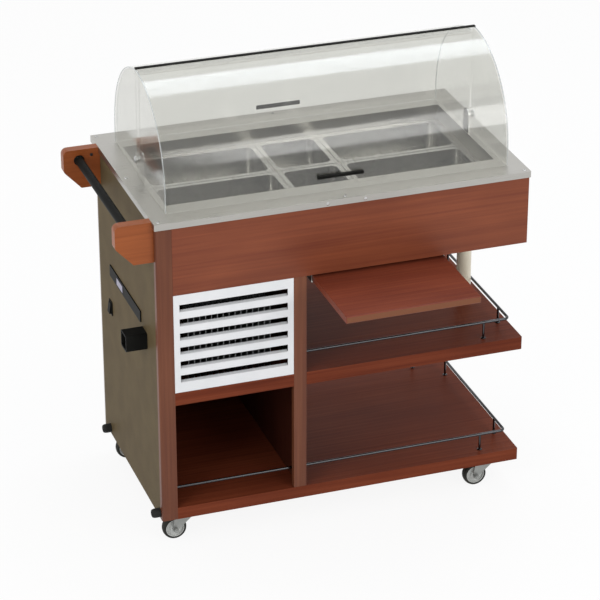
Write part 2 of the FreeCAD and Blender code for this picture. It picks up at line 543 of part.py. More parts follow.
def dome_half(name, side, radius, inset):
    """A quarter cylinder of clear sheet with a skirt, closed by two cheeks that turn on the pivots."""
    turn = FRONT_QUARTER if side < 0 else REAR_QUARTER
    start = f"({LEFT} + {inset})"
    length = f"({TOP_LENGTH} - 2 * {inset})"
    drop = "(dim.pivot_height - dim.rim_clear)"
    sweep = "90" if side < 0 else "90 + dim.dome_lap"

    def solid(tag, r, x, run):
        quarter = rod(f"{name}_{tag}_quarter", r, run, (x, PIVOT_Y, PIVOT_Z), turn, sweep)
        low_y = f"({PIVOT_Y} - {r})" if side < 0 else PIVOT_Y
        skirt = block(f"{name}_{tag}_skirt", (run, r, drop), (x, low_y, f"{PIVOT_Z} - {drop}"))
        return fuse(f"{name}_{tag}", quarter, skirt)

    outer = solid("outer", radius, start, length)
    inner_r = f"({radius} - dim.dome_sheet)"
    inner = solid("inner", inner_r, f"({start} + dim.dome_sheet)", f"({length} - 2 * dim.dome_sheet)")
    shell = cut(f"{name}_shell", outer, inner)
    ears = [rod(f"{name}_ear_{k}", "dim.pivot_ear", "dim.dome_sheet", (x, PIVOT_Y, PIVOT_Z), ALONG_X)
            for k, x in enumerate((start, f"({start} + {length} - dim.dome_sheet)"))]
    holes = rod(f"{name}_pin_holes", "dim.pivot_pin / 2 + dim.pivot_clear", f"{length} + 2 * dim.dome_sheet",
                (f"{start} - dim.dome_sheet", PIVOT_Y, PIVOT_Z), ALONG_X)
    keep(cut(f"{name}_bored", fuse(f"{name}_eared", shell, *ears), holes), name)


def dome():
    """Two nested halves on one axis, their grips and edge seal, and the pivots that carry them."""
    rear_inset = "(dim.dome_inset + dim.dome_sheet + dim.cheek_gap)"
    rear_radius = f"({DOME_RADIUS} - dim.dome_sheet - dim.dome_step)"
    dome_half("dome_front", -1, DOME_RADIUS, "dim.dome_inset")
    dome_half("dome_rear", 1, rear_radius, rear_inset)

    grip_low = f"({TOP} + dim.rim_clear + dim.grip_level)"
    flat = block("front_grip_flat", ("dim.grip_length", "dim.grip_sheet", "dim.grip_height"),
                 (f"{CENTRE_X} - dim.grip_length / 2", f"{PIVOT_Y} - {DOME_RADIUS} - dim.grip_sheet",
                  grip_low))
    ledge = block("front_grip_ledge", ("dim.grip_length", "dim.grip_depth", "dim.grip_sheet"),
                  (f"{CENTRE_X} - dim.grip_length / 2", f"{PIVOT_Y} - {DOME_RADIUS} - dim.grip_depth",
                   f"{grip_low} + dim.grip_height - dim.grip_sheet"))
    nose = block("front_grip_nose", ("dim.grip_length", "dim.grip_sheet", "dim.grip_lip"),
                 (f"{CENTRE_X} - dim.grip_length / 2", f"{PIVOT_Y} - {DOME_RADIUS} - dim.grip_depth",
                  f"{grip_low} + dim.grip_height - dim.grip_lip"))
    keep(fuse("front_grip", flat, ledge, nose), "dome_front_grip")
    rear_bar = block("rear_grip_bar", ("dim.grip_length", "dim.rear_grip_depth", "dim.grip_height"),
                     (f"{CENTRE_X} - dim.grip_length / 2", f"{PIVOT_Y} + {rear_radius}", grip_low))
    keep(rounded("rear_grip", rear_bar, size("rear_grip_depth") / 4,
                 lambda e: e.BoundBox.XLength > 10 and e.BoundBox.YMin > rear_bar.Shape.BoundBox.YMax - 0.1),
         "dome_rear_grip")

    seal = block("seal_strip", (f"{TOP_LENGTH} - 2 * dim.dome_inset", "dim.seal_width", "dim.seal_thick"),
                 (f"{LEFT} + dim.dome_inset", f"{PIVOT_Y} - dim.seal_width",
                  f"{PIVOT_Z} + {DOME_RADIUS}"))
    keep(seal, "dome_edge_seal")

    stands = []
    for k, side in enumerate((-1, 1)):
        gap = f"({rear_inset} + dim.dome_sheet + dim.cheek_gap)"
        inner = (f"({LEFT} + {gap})" if side < 0 else f"({RIGHT} - {gap} - dim.pivot_sheet)")
        plate = block(f"stand_plate_{k}", ("dim.pivot_sheet", "2 * dim.pivot_ear",
                                           "dim.pivot_height"), (inner, f"{PIVOT_Y} - dim.pivot_ear", TOP))
        crown = rod(f"stand_crown_{k}", "dim.pivot_ear", "dim.pivot_sheet", (inner, PIVOT_Y, PIVOT_Z),
                    ALONG_X)
        reach = f"({gap} - dim.dome_inset + dim.pivot_sheet + dim.cheek_gap)"
        pin_x = (f"({LEFT} + dim.dome_inset - dim.cheek_gap)" if side < 0
                 else f"({RIGHT} - {gap} - dim.pivot_sheet)")
        pin = rod(f"stand_pin_{k}", "dim.pivot_pin / 2", reach, (pin_x, PIVOT_Y, PIVOT_Z), ALONG_X)
        head_x = (f"({LEFT} + dim.dome_inset - dim.cheek_gap - dim.pivot_sheet)" if side < 0
                  else f"({RIGHT} - dim.dome_inset + dim.cheek_gap)")
        head = rod(f"stand_head_{k}", "dim.pivot_pin", "dim.pivot_sheet", (head_x, PIVOT_Y, PIVOT_Z), ALONG_X)
        stands.append(fuse(f"stand_{k}", plate, crown, pin, head))
    keep(group("pivot_stands", *stands), "dome_pivots")


# ---------------------------------------------------------------- sliding plate shelf
def plate_shelf():
    """A board that slides toward the server on two steel runners hung from the deck."""
    left = f"({LEFT} + dim.plate_left)"
    low = f"({FASCIA} - dim.plate_drop - dim.plate_board)"
    board = block("plate_board", ("dim.plate_length", "dim.plate_depth", "dim.plate_board"),
                  (left, f"{FRONT} - dim.shelf_reach", low))
    doc.recompute()
    front = board.Shape.BoundBox.YMin
    keep(rounded("plate_round", board, size("edge_round"),
                 lambda e: e.BoundBox.YMax < front + 0.001), "plate_shelf")
    runners = []
    drop = "(dim.plate_drop + dim.plate_board + dim.seat_gap)"
    for k, side in enumerate((-1, 1)):
        web_x = (f"({left} - dim.slide_clear - dim.runner_sheet)" if side < 0
                 else f"({left} + dim.plate_length + dim.slide_clear)")
        low_x = (web_x if side < 0 else f"({web_x} + dim.runner_sheet - dim.runner_flange)")
        high_x = (f"({web_x} + dim.runner_sheet - dim.runner_flange)" if side < 0 else web_x)
        web = block(f"runner_web_{k}", ("dim.runner_sheet", "dim.runner_length", drop),
                    (web_x, BEHIND_FRONT, f"{FASCIA} - {drop}"))
        flange = block(f"runner_flange_{k}", ("dim.runner_flange", "dim.runner_length", "dim.runner_sheet"),
                       (low_x, BEHIND_FRONT, f"{FASCIA} - {drop} - dim.runner_sheet"))
        ear = block(f"runner_ear_{k}", ("dim.runner_flange", "dim.runner_length", "dim.runner_sheet"),
                    (high_x, BEHIND_FRONT, f"{FASCIA} - dim.runner_sheet"))
        runners.append(fuse(f"runner_{k}", web, flange, ear))
    keep(group("runner_pair", *runners), "shelf_runners")


# ---------------------------------------------------------------- push handle
def push_handle():
    """Two shaped planks, notched round the frame's lip, stand out from the end and carry a bar."""
    far = f"({WOOD_LEFT} - dim.bracket_reach)"
    foot_z = f"({TOP} - dim.bracket_height)"
    below_lip = f"({TOP} - dim.frame_lip - dim.seat_gap)"
    beside_lip = f"({LEFT} - dim.seat_gap)"
    front_y = f"({WOOD_FRONT} + dim.bracket_setback)"
    rear_y = f"({FRONT} + dim.bracket_rear_place - dim.bracket_board)"
    planks = []
    for tag, y in (("front", front_y), ("rear", rear_y)):
        body = doc.addObject("PartDesign::Body", f"bracket_{tag}")
        drawing = sketch(body, "XZ_Plane", f"bracket_outline_{tag}", f"-({y} + dim.bracket_board)")
        outline(drawing, [(beside_lip, TOP), (beside_lip, below_lip), (WOOD_LEFT, below_lip),
                          (WOOD_LEFT, foot_z), (f"{WOOD_LEFT} - dim.bracket_foot", foot_z),
                          (far, f"{TOP} - dim.bracket_nose"), (far, TOP)])
        pad = body.newObject("PartDesign::Pad", f"bracket_pad_{tag}")
        pad.Profile = drawing
        pad.setExpression("Length", "dim.bracket_board")
        doc.recompute()
        limit = body.Shape.BoundBox.XMin
        planks.append(rounded(f"bracket_round_{tag}", body, size("bracket_round"),
                              lambda e: e.BoundBox.XMax < limit + 0.001
                              and e.BoundBox.YLength > 1))
    keep(group("bracket_pair", *planks), "handle_brackets")
    start = f"({front_y} + dim.bracket_board)"
    keep(rod("bar", "dim.bar_diameter / 2", f"{rear_y} - {start}",
             (f"{far} + dim.bar_inset", start, f"{TOP} - dim.bar_drop"), ALONG_Y), "handle_bar")


# ---------------------------------------------------------------- gallery rails and column
def gallery(name, floor):
    """A rod round three sides of a shelf, on thin posts, with rounded corners."""
    level = f"({floor} + dim.rail_height)"
    front = f"({WOOD_FRONT} + dim.rail_inset)"
    rear = f"({WOOD_REAR} - dim.rail_inset)"
    right = f"({SHELF_RIGHT} - dim.rail_inset)"
    long_run = f"{right} - dim.rail_round - {DIVIDER_RIGHT}"
    rods = [rod(f"{name}_front", "dim.rail_rod / 2", long_run, (DIVIDER_RIGHT, front, level), ALONG_X),
            rod(f"{name}_rear", "dim.rail_rod / 2", long_run, (DIVIDER_RIGHT, rear, level), ALONG_X),
            rod(f"{name}_side", "dim.rail_rod / 2", f"{rear} - {front} - 2 * dim.rail_round",
                (right, f"{front} + dim.rail_round", level), ALONG_Y),
            bend(f"{name}_corner_f", "dim.rail_round", "dim.rail_rod / 2",
                 (f"{right} - dim.rail_round", f"{front} + dim.rail_round", level),
                 FreeCAD.Rotation(FreeCAD.Vector(0, 0, 1), -90)),
            bend(f"{name}_corner_r", "dim.rail_round", "dim.rail_rod / 2",
                 (f"{right} - dim.rail_round", f"{rear} - dim.rail_round", level), UPRIGHT)]
    feet = [(f"{right} - dim.post_place", front), (right, f"{front} + dim.post_place"),
            (right, f"{rear} - dim.post_place"), (f"{right} - dim.post_place", rear)]
    for k, (x, y) in enumerate(feet):
        rods.append(rod(f"{name}_post_{k}", "dim.post_rod / 2", "dim.rail_height", (x, y, floor)))
    keep(fuse(f"{name}_fused", *rods), name)


def rails():
    """A gallery on each open shelf, one low rail across the left bay, and the corner column."""
    gallery("mid_rail", MID_TOP)
    gallery("lower_rail", BASE_TOP)
    keep(rod("bay_rod", "dim.rail_rod / 2", f"{DIVIDER_INNER} - {INNER_LEFT}",
             (INNER_LEFT, f"{WOOD_FRONT} + dim.rail_inset", f"{BASE_TOP} + dim.rail_height"), ALONG_X),
         "bay_rail")
    x = f"({RIGHT} - dim.column_inset)"
    y = f"(({WOOD_FRONT} + {WOOD_REAR}) / 2)"
    shaft = rod("column_shaft", "dim.column_diameter / 2", f"{FASCIA} - {MID_TOP}", (x, y, MID_TOP))
    low = rod("column_foot", "dim.column_flange / 2", "dim.flange_thick", (x, y, MID_TOP))
    high = rod("column_head", "dim.column_flange / 2", "dim.flange_thick",
               (x, y, f"{FASCIA} - dim.flange_thick"))
    keep(fuse("column_fused", shaft, low, high), "support_column")


# ---------------------------------------------------------------- refrigeration unit
def machine():
    """Compressor, finned condenser, and a fan in a shroud behind it, on the floor behind the grille."""
    pot_x = f"({WOOD_LEFT} + dim.pot_left)"
    pot_y = f"({WOOD_REAR} - dim.pot_back)"
    foot = "(dim.pot_diameter / 15)"
    plate = block("pot_plate", ("dim.pot_diameter", "dim.pot_diameter", "dim.foot_sheet"),
                  (f"{pot_x} - dim.pot_diameter / 2", f"{pot_y} - dim.pot_diameter / 2",
                   f"{MID_TOP} + {foot}"))
    pot = rod("pot", "dim.pot_diameter / 2 - dim.foot_sheet", "dim.pot_height",
              (pot_x, pot_y, f"{MID_TOP} + {foot} + dim.foot_sheet"))
    pot = rounded("pot_round", pot, size("pot_diameter") / 5,
                  lambda e: e.BoundBox.ZLength < 0.001)
    terminals = block("pot_terminals", ("dim.pot_diameter / 3", "dim.pot_diameter / 2 + 4 * dim.foot_sheet",
                                        "dim.pot_height / 3"),
                      (f"{pot_x} - dim.pot_diameter / 6",
                       f"{pot_y} - dim.pot_diameter / 2 - 4 * dim.foot_sheet",
                       f"{MID_TOP} + {foot} + dim.foot_sheet + dim.pot_height / 3"))
    feet = [rod(f"pot_foot_{i}{j}", foot, foot,
                (f"{pot_x} + {i} * 0.4 * dim.pot_diameter", f"{pot_y} + {j} * 0.4 * dim.pot_diameter",
                 MID_TOP))
            for i in (-1, 1) for j in (-1, 1)]
    keep(fuse("pot_fused", plate, pot, terminals, *feet), "compressor")

    middle = f"(({STILE_RIGHT} + {DIVIDER_LEFT}) / 2)"
    near = f"({WOOD_FRONT} + dim.condenser_place)"
    left = f"({middle} - dim.condenser_width / 2)"
    parts = []
    count = int(size("fin_count"))
    for k in range(count + 1):
        parts.append(block(f"fin_{k}", ("dim.fin_sheet", "dim.condenser_depth", "dim.condenser_height"),
                           (f"{left} + {k} * (dim.condenser_width - dim.fin_sheet) / {count}",
                            near, MID_TOP)))
    rows = int(size("tube_rows"))
    for k in range(rows):
        parts.append(rod(f"condenser_tube_{k}", "dim.tube_diameter / 2", "dim.condenser_width",
                         (left, f"{near} + dim.condenser_depth / 2",
                          f"{MID_TOP} + ({k} + 0.5) * dim.condenser_height / {rows}"), ALONG_X))
    keep(fuse("condenser_fused", *parts), "condenser")

    back = f"({near} + dim.condenser_depth)"
    level = f"({MID_TOP} + dim.condenser_height / 2)"
    board = block("shroud_board", ("dim.condenser_width", "dim.runner_sheet", "dim.condenser_height"),
                  (left, back, MID_TOP))
    ring = rod("shroud_ring", "dim.fan_diameter / 2 + dim.shroud_gap + dim.runner_sheet",
               "dim.shroud_depth", (middle, back, level), ALONG_Y)
    hole = rod("shroud_hole", "dim.fan_diameter / 2 + dim.shroud_gap", "3 * dim.shroud_depth",
               (middle, f"{back} - dim.shroud_depth", level), ALONG_Y)
    shroud = cut("shroud", fuse("shroud_blank", board, ring), hole)
    arms = [block(f"motor_arm_{k}",
                  ("2 * (dim.fan_diameter / 2 + dim.shroud_gap + dim.runner_sheet / 2)",
                   "2 * dim.runner_sheet", "dim.fan_hub / 4"),
                  (f"{middle} - dim.fan_diameter / 2 - dim.shroud_gap - dim.runner_sheet / 2",
                   f"{back} + dim.shroud_depth - dim.runner_sheet",
                   f"{level} + {shift} - dim.fan_hub / 8"))
            for k, shift in enumerate(("dim.motor_diameter / 3", "-(dim.motor_diameter / 3)"))]
    motor = rod("motor_can", "dim.motor_diameter / 2", "dim.motor_length",
                (middle, f"{back} + dim.shroud_depth - dim.runner_sheet", level), ALONG_Y)
    shaft = rod("motor_shaft", "dim.fan_shaft / 2", "dim.shroud_depth - 2 * dim.runner_sheet",
                (middle, f"{back} + dim.runner_sheet", level), ALONG_Y)
    keep(fuse("fan_housing_fused", shroud, motor, shaft, *arms), "fan_housing")

    hub = rod("fan_hub", "dim.fan_hub / 2", "dim.fan_depth",
              (middle, f"{back} + dim.runner_sheet + dim.fan_gap", level), ALONG_Y)
    blades = []
    number = int(size("blade_count"))
    for k in range(number):
        turn = FreeCAD.Rotation(FreeCAD.Vector(0, 1, 0), 360 * k / number).multiply(
            FreeCAD.Rotation(FreeCAD.Vector(0, 0, 1), size("blade_pitch")))
        blade = block(f"blade_{k}", ("dim.fan_hub * 0.8", "dim.blade_sheet",
                                     "dim.fan_diameter / 2 - dim.fan_hub / 4"), ("0", "0", "0"))
        blade = place(shifted(f"blade_set_{k}", blade, "dim.fan_hub * -0.4", "dim.blade_sheet / -2",
                               "dim.fan_hub / 4"),
                      (middle, f"{back} + dim.runner_sheet + dim.fan_gap + dim.fan_depth / 2", level), turn)
        blades.append(blade)
    trim = rod("fan_rim_trim", "dim.fan_diameter / 2", "dim.fan_depth",
               (middle, f"{back} + dim.runner_sheet + dim.fan_gap", level), ALONG_Y)
    whole = doc.addObject("Part::MultiCommon", "fan_trimmed")
    whole.Shapes = [fuse("fan_blank", hub, *blades), trim]
    bore = rod("fan_bore", "dim.fan_shaft / 2 + dim.bore_clear", "3 * dim.fan_depth",
               (middle, f"{back} - dim.fan_depth", level), ALONG_Y)
    keep(cut("fan_cut", whole, bore), "fan_blades")


# ---------------------------------------------------------------- fittings on the left end
def fittings():
    """Control strip and its window, rocker switch, mains inlet and two rubber bumpers."""
    keep(block("strip", ("dim.strip_depth", "dim.strip_length", "dim.strip_height"),
               (f"{WOOD_LEFT} - dim.strip_depth", f"{FRONT} + dim.strip_front", "dim.strip_level")),
         "control_strip")
    keep(block("window", ("dim.window_proud", "dim.window_length", "dim.window_height"),
               (f"{WOOD_LEFT} - dim.strip_depth - dim.window_proud", f"{FRONT} + dim.window_place",
                "dim.strip_level + (dim.strip_height - dim.window_height) / 2")), "display_window")

    y = f"({FRONT} + dim.switch_place)"
    bezel = block("bezel_blank", ("dim.bezel_proud", "dim.bezel_width", "dim.bezel_height"),
                  (f"{WOOD_LEFT} - dim.bezel_proud", f"{y} - dim.bezel_width / 2",
                   "dim.switch_level - dim.bezel_height / 2"))
    hole = block("bezel_hole", ("3 * dim.bezel_proud", "dim.rocker_width + dim.rocker_clear",
                                "dim.rocker_height + 2 * dim.rocker_clear"),
                 (f"{WOOD_LEFT} - 2 * dim.bezel_proud", f"{y} - dim.rocker_width / 2 - dim.rocker_clear / 2",
                  "dim.switch_level - dim.rocker_height / 2 - dim.rocker_clear"))
    keep(cut("bezel_cut", bezel, hole), "switch_bezel")
    cap = block("rocker_cap", ("dim.rocker_proud + dim.bezel_proud", "dim.rocker_width", "dim.rocker_height"),
                ("-(dim.rocker_proud + dim.bezel_proud)", "dim.rocker_width / -2", "dim.rocker_height / -2"))
    stem = block("rocker_stem", ("dim.rocker_depth - dim.rocker_proud", "dim.rocker_width * 0.8",
                                 "dim.rocker_height / 3"),
                 ("-1", "dim.rocker_width * -0.4", "dim.rocker_height / -6"))
    tilt = FreeCAD.Rotation(FreeCAD.Vector(0, 1, 0), size("rocker_tilt"))
    keep(place(fuse("rocker_fused", cap, stem), (WOOD_LEFT, y, "dim.switch_level"), tilt), "switch_rocker")

    inlet_y = f"({FRONT} + dim.inlet_place)"
    box = block("inlet_box", ("dim.inlet_reach", "dim.inlet_width", "dim.inlet_height"),
                (f"{WOOD_LEFT} - dim.inlet_reach", inlet_y, "dim.inlet_level"))
    box = rounded("inlet_round_edges", box, size("inlet_round"),
                  lambda e: e.BoundBox.XLength > 1)
    pocket = block("inlet_pocket",
                   ("dim.inlet_reach", "dim.inlet_width - 2 * dim.inlet_wall",
                    "dim.inlet_height - 2 * dim.inlet_wall"),
                   (f"{WOOD_LEFT} - 1.5 * dim.inlet_reach", f"{inlet_y} + dim.inlet_wall",
                    "dim.inlet_level + dim.inlet_wall"))
    pins = [block(f"inlet_pin_{k}", ("dim.pin_length", "dim.pin_width", "dim.pin_height"),
                  (f"{WOOD_LEFT} - dim.inlet_reach / 2 - dim.pin_length",
                   f"{inlet_y} + dim.inlet_width / 2 + ({shift}) * dim.pin_spacing - dim.pin_width / 2",
                   "dim.inlet_level + dim.inlet_height / 2 - dim.pin_height / 2"
                   f" + ({rise}) * dim.pin_spacing"))
            for k, (shift, rise) in enumerate(((-1, -0.4), (0, 0.6), (1, -0.4)))]
    keep(fuse("inlet_fused", cut("inlet_cut", box, pocket), *pins), "mains_inlet")

    buffers = []
    for k, place_y in enumerate(("dim.bumper_front", "dim.bumper_rear")):
        stub = rod(f"bumper_{k}", "dim.bumper_diameter / 2", "dim.bumper_reach",
                   (WOOD_LEFT, f"{FRONT} + {place_y}", "dim.deck_height + dim.base_board / 2"), FACING_LEFT)
        doc.recompute()
        tip = stub.Shape.BoundBox.XMin
        buffers.append(rounded(f"bumper_round_{k}", stub, size("bumper_diameter") / 5,
                               lambda e: e.BoundBox.XMax < tip + 0.001))
    keep(group("bumper_pair", *buffers), "bumpers")


# ---------------------------------------------------------------- castors
def castors():
    """Four swivel castors: plate and race under the base, fork with its axle, hub and tyre."""
    wheel_z = "(dim.wheel_diameter / 2)"
    crown_z = "(dim.deck_height - dim.plate_sheet - dim.race_height - dim.swivel_gap - dim.fork_sheet)"
    outer_y = "(dim.tyre_width / 2 + dim.fork_gap + dim.fork_sheet)"
    plate = block("castor_plate", ("dim.plate_side", "dim.plate_side", "dim.plate_sheet"),
                  ("dim.plate_side / -2", "dim.plate_side / -2", "dim.deck_height - dim.plate_sheet"))
    plate = rounded("castor_plate_round", plate, size("plate_sheet") * 2, is_upright)
    race = rod("castor_race", "dim.race_diameter / 2", "dim.race_height",
               ("0", "0", "dim.deck_height - dim.plate_sheet - dim.race_height"))
    bore = rod("castor_bore", "dim.stem_diameter / 2 + dim.bore_clear", "dim.deck_height",
               ("0", "0", "dim.deck_height / 2"))
    mount = cut("castor_mount", fuse("castor_mount_blank", plate, race), bore)

    crown = rod("fork_crown", "dim.race_diameter / 2", "dim.fork_sheet", ("0", "0", crown_z))
    bridge = block("fork_bridge", ("dim.race_diameter", f"2 * {outer_y}", "dim.fork_sheet"),
                   ("dim.race_diameter / -2", f"-{outer_y}", crown_z))
    stem = rod("fork_stem", "dim.stem_diameter / 2",
               "dim.swivel_gap + dim.race_height + dim.fork_sheet", ("0", "0", f"{crown_z} + dim.fork_sheet"))
    axle = rod("fork_axle", "dim.axle_diameter / 2", f"2 * {outer_y} + 2 * dim.fork_sheet",
               ("-dim.castor_trail", f"-{outer_y} - dim.fork_sheet", wheel_z), ALONG_Y)
    legs = []
    for k, rear_face in enumerate((f"-{outer_y} + dim.fork_sheet", outer_y)):
        body = doc.addObject("PartDesign::Body", f"fork_leg_{k}")
        drawing = sketch(body, "XZ_Plane", f"fork_leg_outline_{k}", f"-({rear_face})")
        outline(drawing, [("dim.race_diameter / -2", f"{crown_z} + dim.fork_sheet"),
                          ("-dim.castor_trail - dim.axle_diameter", wheel_z),
                          ("-dim.castor_trail - dim.axle_diameter / 2", f"{wheel_z} - dim.axle_diameter"),
                          ("-dim.castor_trail + dim.axle_diameter / 2", f"{wheel_z} - dim.axle_diameter"),
                          ("-dim.castor_trail + dim.axle_diameter", wheel_z),
                          ("dim.race_diameter / 2", f"{crown_z} - 2 * dim.fork_sheet"),
                          ("dim.race_diameter / 2", f"{crown_z} + dim.fork_sheet")])
        pad = body.newObject("PartDesign::Pad", f"fork_leg_pad_{k}")
        pad.Profile = drawing
        pad.setExpression("Length", "dim.fork_sheet")
        legs.append(body)
    fork = fuse("fork_master", crown, bridge, stem, axle, *legs)

    tyre_blank = rod("tyre_blank", "dim.wheel_diameter / 2", "dim.tyre_width",
                     ("-dim.castor_trail", "dim.tyre_width / -2", wheel_z), ALONG_Y)
    tyre_blank = rounded("tyre_round", tyre_blank, size("tyre_wall") / 2,
                         lambda e: e.BoundBox.YLength < 0.001)
    seat = rod("tyre_seat", "dim.wheel_diameter / 2 - dim.tyre_wall", "3 * dim.tyre_width",
               ("-dim.castor_trail", "dim.tyre_width * -1.5", wheel_z), ALONG_Y)
    tyre = cut("tyre_master", tyre_blank, seat)
    disc = rod("hub_disc", "dim.wheel_diameter / 2 - dim.tyre_wall", "dim.tyre_width / 2",
               ("-dim.castor_trail", "dim.tyre_width / -4", wheel_z), ALONG_Y)
    boss = rod("hub_boss", "dim.hub_boss", "dim.tyre_width + dim.fork_gap",
               ("-dim.castor_trail", "(dim.tyre_width + dim.fork_gap) / -2", wheel_z), ALONG_Y)
    rim_low = rod("hub_rim", "dim.wheel_diameter / 2 - dim.tyre_wall", "dim.tyre_width - 2",
                  ("-dim.castor_trail", "dim.tyre_width / -2 + 1", wheel_z), ALONG_Y)
    rim_bore = rod("hub_rim_bore", "dim.wheel_diameter / 2 - 1.3 * dim.tyre_wall", "2 * dim.tyre_width",
                   ("-dim.castor_trail", "-dim.tyre_width", wheel_z), ALONG_Y)
    axle_bore = rod("hub_bore", "dim.axle_diameter / 2 + dim.bore_clear", "3 * dim.tyre_width",
                    ("-dim.castor_trail", "dim.tyre_width * -1.5", wheel_z), ALONG_Y)
    hub = cut("hub_master", fuse("hub_blank", disc, boss, cut("hub_ring", rim_low, rim_bore)), axle_bore)

    stations = (("fl", f"({LEFT} + dim.castor_left)", f"({FRONT} + dim.castor_front)"),
                ("fr", f"({RIGHT} - dim.castor_right)", f"({FRONT} + dim.castor_front)"),
                ("rl", f"({LEFT} + dim.castor_left)", f"({WOOD_REAR} - dim.castor_rear)"),
                ("rr", f"({RIGHT} - dim.castor_right)", f"({WOOD_REAR} - dim.castor_rear)"))
    keep(group("castor_mounts", *[copy(f"mount_{tag}", mount, (x, y, "0")) for tag, x, y in stations]),
         "castor_plates")
    for tag, x, y in stations:
        for part, master in (("fork", fork), ("tyre", tyre), ("hub", hub)):
            keep(copy(f"{part}_{tag}_piece", master, (x, y, "0")), f"{part}_{tag}")


# ---------------------------------------------------------------- build, check and write
top_frame()
screws()
cabinet()
grille()
well()
dome()
plate_shelf()
push_handle()
rails()
machine()
fittings()
castors()
doc.recompute()

bad = [thing.Name for thing in doc.Objects if "Invalid" in thing.State or "Error" in thing.State]
if bad:
    raise RuntimeError("features that did not build: " + ", ".join(bad))
os.makedirs("parts", exist_ok=True)
for piece in pieces:
    shape = piece.Shape
    if shape.isNull() or not shape.isValid() or shape.Volume <= 0:
        raise RuntimeError("not a sound solid: " + piece.Label)
    shape.exportStep(f"parts/{piece.Label}.step")
print("pieces", len(pieces))
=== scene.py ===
# %% [markdown]
# # Refrigerated buffet trolley
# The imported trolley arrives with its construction: cabinet, cold well, roll-top dome, rails, machine
# and castors, each in its place. This file gives every piece its finish, adds the small parts that
# a joiner and a fitter would add last, and sets a plain studio round it.
# Lengths are in metres in the trolley's own frame: +Z up, -Y the front, the push handle at -X.

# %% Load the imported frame
import json
import math

import bmesh
import bpy
from mathutils import Matrix, Vector


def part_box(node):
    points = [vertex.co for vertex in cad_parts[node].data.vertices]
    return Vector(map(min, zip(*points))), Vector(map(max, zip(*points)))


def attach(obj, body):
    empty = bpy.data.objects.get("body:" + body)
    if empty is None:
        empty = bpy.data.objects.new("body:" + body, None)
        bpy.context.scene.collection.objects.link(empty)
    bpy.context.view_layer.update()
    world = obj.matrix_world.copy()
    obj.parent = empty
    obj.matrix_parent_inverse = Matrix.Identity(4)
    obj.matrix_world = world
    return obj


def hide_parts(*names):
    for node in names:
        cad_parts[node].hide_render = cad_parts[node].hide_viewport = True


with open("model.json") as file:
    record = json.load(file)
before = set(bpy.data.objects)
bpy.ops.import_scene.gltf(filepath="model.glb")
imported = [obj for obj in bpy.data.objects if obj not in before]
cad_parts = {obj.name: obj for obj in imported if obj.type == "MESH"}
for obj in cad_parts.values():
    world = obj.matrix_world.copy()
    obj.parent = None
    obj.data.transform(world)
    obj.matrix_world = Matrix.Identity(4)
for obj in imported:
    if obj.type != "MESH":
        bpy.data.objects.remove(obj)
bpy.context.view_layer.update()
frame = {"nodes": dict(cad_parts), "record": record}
nodes = frame["nodes"]
MM = 0.001
print("nodes", len(nodes))

# %% [markdown]
# ## Camera
# A catalogue view is taken with a long lens from well back, so that upright edges stay nearly
# parallel. The camera stands above the top and to the left of the front, over the push handle.

# %% Camera
FOCAL_MM = 161.3
STAND = (-1.9811, -5.671, 3.5443)
DOWN_DEG = 26.552
RIGHT_DEG = 19.143
lens = bpy.data.cameras.new("camera")
lens.lens = FOCAL_MM
lens.sensor_width = 36
lens.clip_end = 50
camera = bpy.data.objects.new("camera", lens)
bpy.context.scene.collection.objects.link(camera)
camera.location = STAND
camera.rotation_euler = (math.radians(90 - DOWN_DEG), 0, math.radians(-RIGHT_DEG))
bpy.context.scene.camera = camera
print("camera at", STAND, "looking down", DOWN_DEG, "degrees")

# %% [markdown]
# ## Tools for materials
# Colours are written the way a paint card gives them, as sRGB hex codes, and turned into the
# linear numbers that the shader works with. One function adds a node with its settings and links.
# Patterns are measured in millimetres of the object, so a grain has its real width.


# %% Colours
def rgb(code):
    """An sRGB hex code as linear red, green, blue and alpha."""
    parts = [int(code[i:i + 2], 16) / 255 for i in (1, 3, 5)]
    return [p / 12.92 if p <= 0.04045 else ((p + 0.055) / 1.055) ** 2.4 for p in parts] + [1.0]


def factor(value):
    """One factor for red, green and blue, for a colour that another is multiplied by."""
    return [value, value, value, 1.0]


print("mid grey #808080 is", round(rgb("#808080")[0], 3), "in linear light")


# %% Nodes and materials
def add(tree, kind, inputs=None, **settings):
    """One node: settings are its own fields, inputs are values or other nodes' outputs."""
    node = tree.nodes.new(kind)
    for name, value in settings.items():
        setattr(node, name, value)
    for name, value in (inputs or {}).items():
        if isinstance(value, bpy.types.NodeSocket):
            tree.links.new(value, node.inputs[name])
        else:
            node.inputs[name].default_value = value
    return node


def start(name, **sockets):
    """A new material, its tree and its main shader with the given constant sockets."""
    material = bpy.data.materials.new(name)
    material.use_nodes = True
    tree = material.node_tree
    shader = tree.nodes["Principled BSDF"]
    for socket, value in sockets.items():
        shader.inputs[socket.replace("_", " ")].default_value = value
    return material, tree, shader


# %% Patterns in millimetres
def millimetres(tree, stretch):
    """Object coordinates in millimetres, divided by the stretch along each axis."""
    spot = add(tree, "ShaderNodeTexCoord")
    mapping = add(tree, "ShaderNodeMapping", {"Vector": spot.outputs["Object"],
                                              "Scale": [1 / MM / s for s in stretch]})
    return mapping.outputs["Vector"]


def noise(tree, stretch, **inputs):
    """A noise whose features are as large along each axis as the stretch says, in millimetres."""
    values = {name.replace("_", " "): value for name, value in inputs.items()}
    return add(tree, "ShaderNodeTexNoise", {"Vector": millimetres(tree, stretch), "Scale": 1.0, **values})


def ramp(tree, height, stops):
    """A colour ramp from (place, colour) stops."""
    node = add(tree, "ShaderNodeValToRGB", {"Fac": height})
    for extra in range(len(stops) - 2):
        node.color_ramp.elements.new(0.5)
    for element, (place, colour) in zip(node.color_ramp.elements, stops):
        element.position = place
        element.color = colour
    return node.outputs["Color"]


